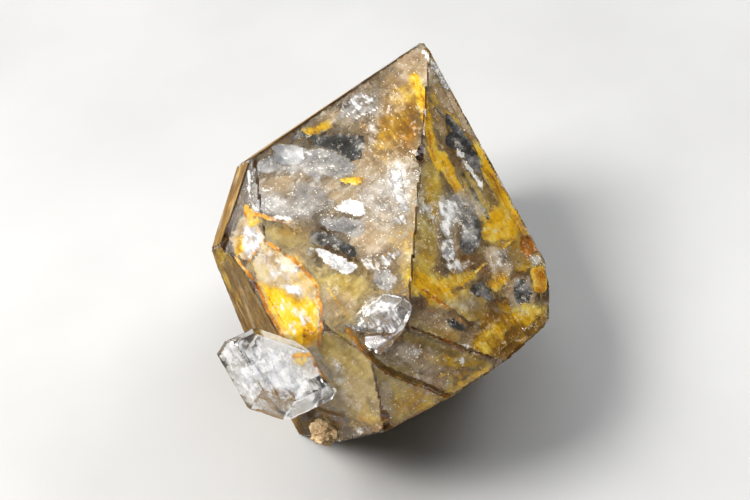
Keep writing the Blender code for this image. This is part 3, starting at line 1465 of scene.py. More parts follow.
@dataclass
class Curtain:
    """A crumpled sheet under all faces seen from the front, holding clouds of minerals.

    Depth, relief, crumple and longest side are in millimetres; pace, warp and reach in frame units.
    An outer curtain lies just under the surface itself.
    """

    shallowest: ClassVar[float] = 0.4
    clearance: ClassVar[float] = 0.32

    name: str
    depth: float
    marks: Sequence[Mark]
    shift: float = 0.0
    strength: float = 1.0
    relief: float = 0.9
    crumple: float = 0.30
    pace: float = 2.0
    warp: float = 7.0
    longest: float = 3.0
    painted_glitter: float = 1.0
    outer: bool = False
    reach: tuple[float, float, float, float] = (205.0, 38.0, 560.0, 446.0)
    shade: float = 1.0

    def frame_place(self, cell: tuple[int, int]) -> tuple[float, float]:
        """Place in the frame of a cell's corner."""
        return self.reach[0] + cell[0] * self.pace, self.reach[1] + cell[1] * self.pace

    def amounts(self, x: float, y: float, place: Vector, scale: float) -> dict[Mineral, float]:
        """How much of each mineral covers a place.

        Args:
            x: Place across the frame.
            y: Place down the frame.
            place: The same place on the crystal (mm).
            scale: Frame units in a millimetre.

        Returns:
            Cover from 0 to 1 for each mineral that is there.
        """
        spot = Vector((x, y, self.shift * 50.0))
        lift = spot + Vector((0.0, 0.0, 31.0))
        drift = self.warp * waver(spot, DRIFT), self.warp * waver(lift, DRIFT)
        nick = waver(spot, NICK), waver(lift, NICK)
        held: dict[Mineral, float] = {}
        for mark in self.marks:
            moved_x = x + drift[0] * mark.follow + nick[0] * mark.ragged
            moved_y = y + drift[1] * mark.follow + nick[1] * mark.ragged
            amount = mark.at(moved_x, moved_y, scale)
            if amount > 0.01:
                held[mark.mineral] = max(held.get(mark.mineral, 0.0), amount)
        covers: dict[Mineral, float] = {}
        for mineral, amount in held.items():
            pigment = PIGMENTS[mineral]
            wave = fbm(place, pigment.blotch_mm, 3, self.shift + mineral_seed(mineral))
            covers[mineral] = max(0.0, amount + 1.1 * pigment.breakup * wave * min(1.0, amount * 4.0))
        return covers

    def build(self, interior: Interior) -> bpy.types.Object:
        """Build the curtain as one piece of a crystal.

        Args:
            interior: The crystal it lies in.

        Returns:
            The piece.
        """
        studio = interior.studio
        scale = studio.focal / studio.reach
        sheet = FilmSheet()
        columns = int((self.reach[2] - self.reach[0]) / self.pace)
        rows = int((self.reach[3] - self.reach[1]) / self.pace)
        cells = [(column, row) for row in range(rows + 1) for column in range(columns + 1)]
        seen = {cell: interior.face_seen(*self.frame_place(cell)) for cell in cells}
        grid: dict[tuple[int, int, int], bmesh.types.BMVert] = {}
        for column, row in cells:
            near = {seen.get((column + a, row + b)) for a in (-1, 0, 1) for b in (-1, 0, 1)}
            if self.outer:
                near = {seen[column, row]}
            near.discard(None)
            if not near or seen[column, row] is None:
                continue
            x, y = self.frame_place((column, row))
            own = interior.enter(x, y)
            covers = self.amounts(x, y, own.point, scale)
            if not covers:
                continue
            depth = self.depth + self.relief * fbm(own.point, RELIEF_LENGTH, 2, self.shift)
            depth += self.crumple * fbm(own.point, CRUMPLE_LENGTH, 3, self.shift + 4.0)
            room = interior.room(own.point, seen[column, row])
            depth = min(depth, self.shallowest + room * (0.5 + 0.06 * self.depth))
            broad = 0.5 + 0.9 * fbm(own.point, TONE_LENGTH, 4, self.shift + 9.0)
            for face in near:
                entry = interior.enter(x, y, face)
                point = entry.point + entry.inner * max(self.shallowest, depth)
                if self.outer:
                    point = entry.point - entry.normal * self.depth
                if interior.holds(point, 0.0 if self.outer else self.clearance):
                    grid[column, row, 0 if self.outer else face] = sheet.point(
                        point, broad, Vector((x, -y, self.shift * 90.0)) * (MM / scale), covers)
        for column, row, face in list(grid):
            sheet.fill([grid.get(key) for key in (
                (column, row, face), (column, row + 1, face), (column + 1, row + 1, face),
                (column + 1, row, face))], self.longest)
        return sheet.finish(
            MineralFilm(self.name, self.shift, self.strength, self.painted_glitter, self.shade))


@dataclass(frozen=True)
class Mottle:
    """A mineral that lies in clouds through the unseen parts: cloud size (mm), level and amount."""

    mineral: Mineral
    size: float
    level: float
    amount: float

    def at(self, point: Vector) -> float:
        """Amount at a point (mm)."""
        wave = fbm(point, self.size, 3, 20.0 + mineral_seed(self.mineral)) - self.level
        return self.amount * min(1.0, max(0.0, wave * 4.0 + 0.5))


@dataclass
class FaceVeils:
    """Curtains of mineral clouds under whole faces, or on them where the depth is next to nothing.

    Depth, pace, relief and crumple are in millimetres.
    """

    name: str
    clouds: Sequence[Mottle]
    depth: float = 2.4
    pace: float = 0.8
    relief: float = 0.9
    crumple: float = 0.30
    strength: float = 1.0
    painted_glitter: float = 1.0
    shade: float = 1.0
    half_span: ClassVar[float] = 60.0
    skin_deep: ClassVar[float] = 0.1

    def build(self, interior: Interior, faces: Sequence[Plane]) -> bpy.types.Object:
        """Build the curtains as one piece of a crystal.

        Args:
            interior: The crystal they lie in.
            faces: Its faces that get one.

        Returns:
            The piece.
        """
        sheet = FilmSheet()
        below, margin = (0.0, 0.4) if self.depth > self.skin_deep else (self.skin_deep, 0.04)
        count = int(self.half_span / self.pace)
        for number, plane in enumerate(faces):
            across = plane.normal.orthogonal().normalized()
            along = plane.normal.cross(across)
            grid: dict[tuple[int, int], bmesh.types.BMVert] = {}
            for column in range(-count, count + 1):
                for row in range(-count, count + 1):
                    flat = across * (column * self.pace) + along * (row * self.pace)
                    point = flat + plane.normal * (plane.distance - self.depth) + interior.centre
                    if not interior.holds(point - plane.normal * below, margin):
                        continue
                    lift = self.relief * fbm(point, RELIEF_LENGTH, 2, 3.0)
                    lift += self.crumple * fbm(point, CRUMPLE_LENGTH, 3, 7.0)
                    grid[column, row] = sheet.point(
                        point + plane.normal * lift, 0.5 + 0.9 * fbm(point, TONE_LENGTH, 4, 11.0),
                        Vector((column, row, number * 40.0)) * (self.pace * MM),
                        {cloud.mineral: cloud.at(point) for cloud in self.clouds})
            for column, row in list(grid):
                sheet.fill([grid.get(key) for key in (
                    (column, row), (column + 1, row), (column + 1, row + 1), (column, row + 1))])
        return sheet.finish(MineralFilm(self.name, 6.0, self.strength, self.painted_glitter, self.shade))


def mineral_seed(mineral: Mineral) -> float:
    """A noise seed of its own for each mineral."""
    return 1.7 * list(Mineral).index(mineral)


def drop_strays(solid: bmesh.types.BMesh, least: int = 12) -> None:
    """Delete loose points and islands with fewer faces than `least`.

    Args:
        solid: The mesh.
        least: Fewest faces an island keeps its place with.
    """
    seen: set[bmesh.types.BMFace] = set()
    strays: list[bmesh.types.BMFace] = []
    for face in solid.faces:
        if face in seen:
            continue
        island, front = [face], [face]
        seen.add(face)
        while front:
            for edge in front.pop().edges:
                for other in edge.link_faces:
                    if other not in seen:
                        seen.add(other)
                        island.append(other)
                        front.append(other)
        if len(island) < least:
            strays += island
    bmesh.ops.delete(solid, geom=strays, context="FACES")
    loose = [vert for vert in solid.verts if not vert.link_faces]
    bmesh.ops.delete(solid, geom=loose, context="VERTS")


@dataclass(frozen=True)
class FlakeFinish(Finish):
    """Finish of small flakes: a plain tint with a touch of grain, and a painted glow."""

    name: str
    tint: Tint
    metallic: float
    roughness: float
    painted_glow: float = 0.0
    slot: str = QUARTZ_SLOT

    def write(self, graph: Graph) -> None:
        """Tinted, glossy or dull, with grain in the tint and a painted glow of that tint.

        Args:
            graph: The material's nodes.
        """
        grain = graph.cloud(0.4, 2.0)
        dim = tuple(part * 0.75 for part in self.tint)
        tint = graph.colours(grain, (0.35, dim), (0.65, self.tint))
        graph.surface(graph.principled(
            Base_Color=tint, Metallic=self.metallic, Roughness=self.roughness, Emission_Color=tint,
            Emission_Strength=self.painted_glow))


FLAKE_NODES = {
    "given": "NodeGroupInput", "out": "NodeGroupOutput", "held": "GeometryNodeInputNamedAttribute",
    "density": "ShaderNodeMath", "scatter": "GeometryNodeDistributePointsOnFaces",
    "flake": "GeometryNodeMeshIcoSphere", "flat": "GeometryNodeTransform",
    "spin": "FunctionNodeRandomValue", "span": "FunctionNodeRandomValue",
    "place": "GeometryNodeInstanceOnPoints", "real": "GeometryNodeRealizeInstances",
    "dress": "GeometryNodeSetMaterial"}
FLAKE_LINKS = (
    ("held", "Attribute", "density", 0), ("given", "Per Area", "density", 1),
    ("given", "Geometry", "scatter", "Mesh"), ("density", 0, "scatter", "Density"),
    ("given", "Seed", "scatter", "Seed"), ("given", "Seed", "spin", "Seed"),
    ("given", "Seed", "span", "Seed"), ("given", "Smallest", "span", 2), ("given", "Largest", "span", 3),
    ("flake", "Mesh", "flat", "Geometry"), ("scatter", "Points", "place", "Points"),
    ("flat", "Geometry", "place", "Instance"), ("spin", 0, "place", "Rotation"),
    ("span", 1, "place", "Scale"), ("place", "Instances", "real", "Geometry"),
    ("real", "Geometry", "dress", "Geometry"), ("given", "Finish", "dress", "Material"),
    ("dress", "Geometry", "out", "Geometry"))


@dataclass(frozen=True)
class Flakes:
    """Small flakes scattered over a curtain where it holds a mineral."""

    name: str
    finish: FlakeFinish
    mineral: Mineral
    per_mm2: float
    size: tuple[float, float]
    seed: int
    shape: tuple[float, float, float] = (1.0, 0.7, 0.22)
    bed: str = "veil_curtain"

    def tree(self) -> bpy.types.NodeTree:
        """Geometry nodes that scatter the flakes over a mesh.

        Returns:
            The node tree, with its sizes as named inputs.
        """
        group = bpy.data.node_groups.new(self.name, "GeometryNodeTree")
        face = group.interface
        face.new_socket("Geometry", in_out="INPUT", socket_type="NodeSocketGeometry")
        for label, kind in (("Per Area", "NodeSocketFloat"), ("Smallest", "NodeSocketFloat"),
                            ("Largest", "NodeSocketFloat"), ("Seed", "NodeSocketInt"),
                            ("Finish", "NodeSocketMaterial")):
            face.new_socket(label, in_out="INPUT", socket_type=kind)
        face.new_socket("Geometry", in_out="OUTPUT", socket_type="NodeSocketGeometry")
        made = {name: group.nodes.new(kind) for name, kind in FLAKE_NODES.items()}
        made["held"].data_type = "FLOAT"
        made["held"].inputs["Name"].default_value = self.mineral.value
        made["density"].operation = "MULTIPLY"
        made["flake"].inputs["Subdivisions"].default_value = 1
        made["flake"].inputs["Radius"].default_value = 1.0
        made["flat"].inputs["Scale"].default_value = self.shape
        made["spin"].data_type = "FLOAT_VECTOR"
        made["spin"].inputs["Max"].default_value = (math.tau, math.tau, math.tau)
        for start, outlet, end, inlet in FLAKE_LINKS:
            group.links.new(made[start].outputs[outlet], made[end].inputs[inlet])
        return group

    def build(self, bed: bpy.types.Object) -> bpy.types.Object:
        """Scatter the flakes over a curtain and keep them as one plain mesh.

        Args:
            bed: The curtain.

        Returns:
            The piece.
        """
        target = bpy.data.objects.new(self.name, bed.data.copy())
        bpy.context.scene.collection.objects.link(target)
        step = target.modifiers.new("flakes", "NODES")
        step.node_group = self.tree()
        sizes = {"Per Area": self.per_mm2 / MM ** 2, "Smallest": self.size[0] * MM,
                 "Largest": self.size[1] * MM, "Seed": self.seed, "Finish": self.finish.material()}
        for socket in step.node_group.interface.items_tree:
            if socket.in_out == "INPUT" and socket.name in sizes:
                step[socket.identifier] = sizes[socket.name]
        bake_modifiers(target)
        return finish_piece(target, self.finish)


# The mirror and gold flakes carry a painted glow, which makes them sparkle brighter than their reflections
# alone.
MIRROR_FLAKE = FlakeFinish("mirror_flake", (1.0, 1.0, 1.0), 0.25, 0.30, 0.55)
CLAY_FLECK = FlakeFinish("clay_fleck", (0.05, 0.04, 0.03), 0.0, 0.6)
GOLD_FLAKE = FlakeFinish("gold_flake", (1.0, 0.74, 0.12), 0.25, 0.35, 0.35)


# --- the specimen -------------------------------------------------------------------------------

# The whitish satellite on the lower left.
SATELLITE = SmallCrystal(
    Vector((-22.1, -36.9, 7.9)),
    CrystalFrame(Vector((0.840, -0.163, -0.517)), Vector((0.364, -0.537, 0.761))),
    facets(Form.UPPER, (0, 11.0), (60, 7.9), (120, 9.6), (180, 13.5), (240, 11.0), (300, 7.8))
    + facets(Form.PRISM, (0, 5.5), (60, 7.3), (120, 7.6), (180, 12.5), (240, 5.0), (300, 7.1))
    + facets(Form.LOWER, (0, 11.0), (60, 7.9), (120, 8.5), (180, 13.5), (240, 8.3), (300, 10.8)))

# The clear crystal at the front corner: its body, the lobe at its upper left and the bud under it.
CLEAR_CENTRE = Vector((-0.3, -38.3, 21.4))
CLEAR_BODY = Outlined(
    CLEAR_CENTRE,
    ((-6.9, -1.2), (-4.4, 1.1), (0.6, 5.2), (4.1, 4.3), (5.9, 3.1), (5.8, 0.8), (4.5, -2.8), (2.7, -4.8),
     (-5.4, -2.5)),
    ((80, 30, 3.5), (-100, 22, 3.2), (10, 42, 4.7), (175, 28, 3.8)))
CLEAR_LOBE = Outlined(
    CLEAR_CENTRE, ((-3.2, 3.6), (-2.7, 4.9), (-2.1, 5.2), (-0.8, 5.1), (0.2, 4.5), (-0.4, 3.0), (-2.7, 1.9)),
    ((120, 30, 4.0), (-20, 15, 1.6)))
CLEAR_BUD = Outlined(
    CLEAR_CENTRE,
    ((-3.2, -4.2), (1.9, -3.7), (2.5, -5.0), (0.9, -6.9), (-0.6, -7.8), (-2.1, -7.0), (-3.1, -5.9)),
    ((-90, 20, 3.9), (160, 30, 3.0), (60, 20, 1.4)))

# Crack faces just under the level face and right of the ridge; their crisp white patches are a painted
# reflection of the light the cracks throw back.
CRACKS_WITH_PAINTED_REFLECTION = Curtain("cracks_with_painted_reflection", 1.1, (
    Patch(WHITE, ((333, 213), (341, 204), (347, 198), (356, 198), (363, 203), (366, 211), (363, 217),
        (352, 215), (344, 212)), 1.0, 0.3), Streak(WHITE, ((324, 222), (330, 214), (338, 206)), 0.35, 0.8),
    Blot(SLATE, (330, 204), (2.6, 1.4), 0.42, -34.0),
    Patch(WHITE, ((313, 247), (326, 249), (339, 255), (352, 261), (359, 266), (356, 271), (346, 275),
        (335, 269), (325, 264), (318, 254)), 1.0, 0.3),
    Patch(WHITE, ((359, 258), (380, 256), (398, 246), (402, 254), (386, 270), (368, 272)), 0.62, 0.8),
    Patch(WHITE, ((387, 170), (401, 166), (405, 187), (408, 212), (399, 210), (394, 192)), 0.80, 0.9),
    Patch(WHITE, ((376, 194), (388, 190), (390, 204), (378, 208)), 0.5, 1.2),
    Patch(WHITE, ((390, 216), (404, 214), (407, 224), (394, 226)), 0.8, 0.5),
    Patch(GREY, ((272, 145), (286, 143), (303, 147), (305, 156), (300, 165), (284, 166), (274, 163)),
        1.0, 0.4), Streak(WHITE, ((286, 150), (296, 152), (303, 158)), 1.2, 0.7),
    Streak(WHITE, ((283, 157), (293, 161), (300, 160)), 0.6, 0.6),
    Patch(WHITE, ((456, 148), (462, 149), (465, 154), (464, 159), (460, 158), (457, 154)), 1.0, 0.2),
    Patch(WHITE, ((459, 160), (464, 160), (473, 169), (482, 182), (489, 197), (483, 192), (474, 178),
        (466, 168)), 0.9, 0.35), Streak(WHITE, ((452, 146), (458, 158), (466, 172)), 0.3, 0.9),
    Streak(WHITE, ((470, 160), (478, 172), (484, 182)), 0.3, 0.8),
    Patch(WHITE, ((438, 202), (453, 198), (458, 210), (452, 222), (449, 240), (441, 232)), 0.85, 0.9),
    Patch(WHITE, ((442, 240), (453, 238), (456, 254), (450, 264), (441, 256)), 0.8, 0.8),
    Streak(WHITE, ((420, 236), (430, 226), (438, 212)), 0.5, 0.8),
    Streak(WHITE, ((426, 262), (434, 246), (440, 232)), 0.4, 0.7),
    Patch(WHITE, ((444, 262), (462, 258), (474, 264), (460, 274), (446, 272)), 0.6, 0.7),
    Streak(WHITE, ((424, 52), (436, 68), (447, 87)), 1.4),
    Streak(GOLD, ((520, 232), (506, 246), (490, 259), (466, 281), (451, 294)), 0.9),
    Streak(WHITE, ((409, 228), (414, 250), (420, 275)), 0.8, 0.7),
    Blot(GREY, (362, 106), (6.4, 3.0), 0.62, 30.0), Blot(WHITE, (358, 102), (3.6, 1.6), 0.55, 30.0),
    Streak(WHITE, ((340, 110), (350, 100), (362, 93)), 0.5, 0.9),
    Streak(WHITE, ((346, 116), (360, 106), (376, 96)), 0.5, 0.9),
    Streak(WHITE, ((356, 118), (368, 112), (382, 108)), 0.4, 0.8),
    Streak(WHITE, ((374, 100), (381, 116), (384, 132)), 0.5, 0.7)),
    8.0, 1.0, 0.3, 0.25, warp=3.0, longest=2.0)

# Iron stain and chalky bloom on the contact facets.
LONG_FACET = ((262, 243), (283, 254), (300, 266), (315, 285), (320, 320), (318, 346), (300, 350),
              (284, 336), (268, 310), (257, 284), (252, 262))
SHORT_FACET = ((247, 212), (256, 220), (265, 236), (258, 250), (248, 262), (236, 254), (230, 240),
               (238, 222))
STAIN_FILMS = Curtain("stain_films", 0.02, (
    Patch(TAN, LONG_FACET, 1.0, 0.4), Patch(TAN, SHORT_FACET, 1.0, 0.4),
    Blot(GOLD, (280, 280), (12.0, 12.0), 0.36),
    Patch(WHITE, ((262, 247), (283, 256), (299, 270), (292, 284), (276, 282), (260, 272), (254, 262)),
        0.42, 1.8), Blot(OLIVE, (274, 266), (5.6, 3.6), 0.5, -40.0),
    Patch(GOLD, ((258, 280), (275, 286), (296, 296), (316, 302), (319, 344), (300, 348), (284, 334),
        (268, 308)), 1.0, 1.8), Patch(WHITE, ((283, 284), (300, 286), (303, 294), (288, 294)), 0.9, 0.8),
    Blot(WHITE, (304, 316), (2.2, 3.0), 0.50, 20.0), Blot(WHITE, (284, 304), (2.4, 1.4), 0.45, 30.0),
    Blot(WHITE, (292, 326), (1.4, 1.4), 0.4), Blot(OLIVE, (300, 336), (2.0, 2.0), 0.6),
    Streak(RUST, ((266, 292), (276, 312), (286, 326)), 0.35, 0.7),
    Streak(RUST, ((296, 330), (306, 326), (312, 316)), 0.35, 0.7),
    Blot(TAN, (303, 308), (2.4, 3.4), 0.55), Blot(SLATE, (298, 269), (0.9, 0.9), 0.6),
    Patch(WHITE, ((243, 226), (256, 228), (263, 240), (250, 258), (243, 250)), 0.70, 0.8),
    Blot(GOLD, (240, 246), (1.6, 2.0), 0.8), Blot(GOLD, (254, 222), (1.8, 1.4), 0.7),
    Blot(GOLD, (220, 258), (1.4, 3.0), 0.9), Blot(RUST, (249, 212), (1.4, 1.4)),
    Streak(RUST, ((262, 240), (283, 252), (300, 265), (316, 284), (322, 316), (319, 346)), 1.0, 0.9),
    Streak(RUST, ((246, 206), (254, 213), (272, 219)), 1.0),
    Streak(RUST, ((264, 238), (256, 251), (248, 262)), 0.6, 0.8),
    Streak(RUST, ((236, 258), (244, 268), (256, 284), (266, 308), (284, 338), (300, 350)), 0.9, 0.9),
    Streak(RUST, ((318, 328), (312, 334), (304, 330), (303, 344)), 0.5, 0.8)),
    0.0, pace=1.3, warp=3.0, painted_glitter=0.6, outer=True, shade=0.52)

# Dark iron along the lower front edge, and painted shade in the hollow beside the rock and where the
# satellite shades it.
EDGE_STAIN_AND_SHADE = Curtain("edge_stain_and_painted_shade", 0.02, (
    Streak(SMOKE, ((349, 328), (355, 336), (368, 353), (381, 365), (397, 375), (412, 380)), 1.5),
    Streak(SMOKE, ((408, 379), (424, 384), (440, 391), (450, 396)), 0.9),
    Streak(RUST, ((347, 330), (353, 338), (366, 356), (379, 368), (396, 378), (419, 386), (438, 394),
        (450, 398)), 0.7),
    # Painted shade: smoke and slate in the hollow beside the rock, and a smoke streak along the rock's top
    # under the satellite.
    Patch(SMOKE, ((297, 408), (306, 404), (316, 410), (313, 422), (312, 446), (296, 442)), 1.0, 0.8),
    Patch(SLATE, ((299, 414), (307, 410), (313, 418), (309, 438), (300, 436)), 0.6, 0.8),
    Streak(SMOKE, ((316, 408), (330, 412), (344, 416)), 1.2, 0.8)),
    0.7, pace=1.3, warp=2.0, painted_glitter=0.3, outer=True, shade=0.38, reach=(290.0, 320.0, 470.0, 452.0))

# Brown stain on the steep faces at the left.
PRISM_FILMS = FaceVeils("prism_stain", (
    Mottle(SMOKE, 9.0, -0.60, 1.0), Mottle(TAN, 9.0, 0.16, 0.42), Mottle(GOLD, 12.0, 0.34, 0.6),
    Mottle(RUST, 6.0, 0.30, 0.6)), 0.02, 0.8, 0.0, 0.0, 1.15, 0.2, 0.52)

# Marks of the large level face, from the tip down to the rounded window.
UPPER_LEFT_MARKS = (
    Blot(TAN, (418, 66), (5.6, 5.4)), Blot(TAN, (384, 98), (6.0, 4.0), 0.5, 30.0),
    Blot(SMOKE, (398, 124), (7.0, 13.0), 0.9, -8.0), Blot(SMOKE, (372, 108), (6.0, 3.0), 0.5, 30.0),
    Blot(GOLD, (402, 104), (2.6, 5.0), 0.34, -8.0), Blot(GOLD, (384, 144), (3.0, 4.0), 0.28),
    Blot(SMOKE, (362, 150), (3.6, 5.0), 0.6), Blot(RUST, (406, 134), (2.6, 3.0), 0.35),
    Blot(WHITE, (380, 112), (2.4, 3.4), 0.35, 30.0),
    Streak(GOLD, ((394, 92), (412, 82), (428, 84)), 1.2, 0.5),
    Blot(SMOKE, (322, 124), (4.8, 1.6), 0.8, 32.0), Blot(GOLD, (318, 128), (3.6, 1.0), 0.7, 32.0),
    Blot(TAN, (345, 118), (6.0, 2.4), 0.7, -10.0), Blot(WHITE, (373, 132), (1.6, 3.6), 0.6),
    Patch(SLATE, ((312, 141), (326, 135), (341, 133), (363, 137), (365, 146), (361, 158), (352, 161),
        (339, 152), (326, 148), (316, 147)), 1.0, 0.4),
    Streak(SLATE, ((290, 139), (302, 135), (316, 137)), 0.9),
    Streak(SLATE, ((274, 144), (269, 152), (271, 164)), 0.9, 0.9),
    Patch(GREY, ((313, 148), (330, 149), (346, 157), (356, 166), (352, 174), (335, 179), (319, 173),
        (310, 160)), 1.0, 0.6),
    Patch(GREY, ((256, 162), (300, 146), (330, 152), (334, 170), (316, 182), (300, 172), (262, 174),
        (250, 180)), 0.9, 0.8), Streak(WHITE, ((300, 150), (318, 156), (334, 158)), 0.4, 0.8),
    Streak(WHITE, ((318, 168), (336, 166), (348, 170)), 0.35, 0.8),
    Patch(TAN, ((252, 178), (297, 174), (296, 200), (280, 214), (262, 214), (251, 204)), 0.7, 0.6),
    Blot(GREY, (276, 204), (6.0, 3.0), 0.75, -20.0), Blot(GREY, (256, 190), (1.4, 4.0), 0.6),
    Blot(WHITE, (264, 208), (3.6, 2.0), 0.5, 20.0), Blot(WHITE, (292, 168), (1.4, 1.6), 0.5),
    Patch(SMOKE, ((296, 196), (306, 178), (322, 184), (346, 184), (332, 194), (316, 212), (298, 216)),
        0.62, 0.8), Streak(WHITE, ((286, 196), (296, 186), (302, 174)), 0.35, 0.8),
    Streak(SLATE, ((296, 214), (316, 206), (332, 192), (350, 184)), 0.5, 0.7),
    Streak(WHITE, ((249, 172), (248, 196), (256, 212), (270, 218), (292, 217)), 0.9, 0.85),
    Blot(WHITE, (268, 206), (2.8, 1.6), 0.5, 10.0), Streak(WHITE, ((262, 190), (278, 186)), 0.5, 0.7),
    Blot(GREY, (308, 200), (5.0, 5.0), 0.8), Blot(SMOKE, (304, 180), (1.4, 4.6), 0.8, -30.0),
    Streak(RUST, ((250, 211), (264, 219), (282, 221), (296, 219)), 0.9, 0.7),
    Patch(GOLD, ((342, 179), (358, 175), (365, 179), (362, 186), (353, 183), (342, 182)), 1.0, 0.4),
    Streak(RUST, ((356, 176), (364, 181), (361, 186)), 0.5, 0.8),
    Streak(SMOKE, ((318, 203), (332, 192), (350, 186)), 1.0, 0.6),
    Blot(GOLD, (366, 128), (2.5, 0.9), 0.6, -10.0))

# Marks round the middle: the slate band and the cloudy heart.
CENTRE_MARKS = (
    Blot(SMOKE, (296, 226), (5.0, 3.0), 0.6, 25.0), Blot(OLIVE, (285, 236), (5.0, 3.0), 0.8, -20.0),
    Patch(GREY, ((321, 218), (339, 216), (362, 221), (366, 230), (357, 237), (337, 232), (320, 226)),
        1.0, 0.4),
    Patch(SLATE, ((310, 233), (319, 230), (335, 237), (355, 247), (359, 254), (352, 258), (335, 249),
        (321, 245), (310, 244)), 1.0, 0.3),
    Patch(SLATE, ((307, 246), (313, 249), (312, 257), (307, 254)), 1.0, 0.3),
    Streak(SLATE, ((312, 218), (322, 224), (330, 232)), 0.8, 0.7),
    Blot(GREY, (332, 242), (3.8, 1.0), 0.5, 25.0), Blot(TAN, (388, 190), (7.0, 9.0), 0.9, -8.0),
    Blot(GREY, (380, 200), (5.6, 6.6), 0.5), Blot(WHITE, (398, 186), (3.4, 6.4), 0.60, -8.0),
    Blot(WHITE, (380, 206), (5.0, 4.0), 0.42), Blot(TAN, (366, 168), (4.6, 4.6), 0.8),
    Blot(TAN, (345, 200), (6.0, 6.0), 0.7), Blot(SMOKE, (330, 196), (4.6, 1.6), 0.6, 30.0),
    Patch(GREY, ((372, 268), (392, 268), (398, 280), (390, 292), (374, 284)), 0.9, 0.6),
    Blot(SLATE, (385, 278), (2.6, 2.0), 0.7, 40.0), Blot(TAN, (372, 236), (6.0, 4.4), 0.85),
    Blot(GOLD, (404, 240), (3.4, 3.0), 0.5), Blot(TAN, (405, 252), (3.6, 3.0), 0.6, 30.0),
    Blot(OLIVE, (414, 264), (4.4, 5.0), 0.8), Blot(OLIVE, (330, 288), (9.0, 4.4), 0.95),
    Blot(TAN, (330, 304), (6.0, 4.0), 0.7), Blot(OLIVE, (340, 318), (7.0, 3.0), 0.6),
    Streak(GOLD, ((328, 288), (335, 300), (344, 312), (351, 319)), 0.7, 0.6),
    Blot(GOLD, (312, 282), (2.4, 2.4), 0.4, 20.0))

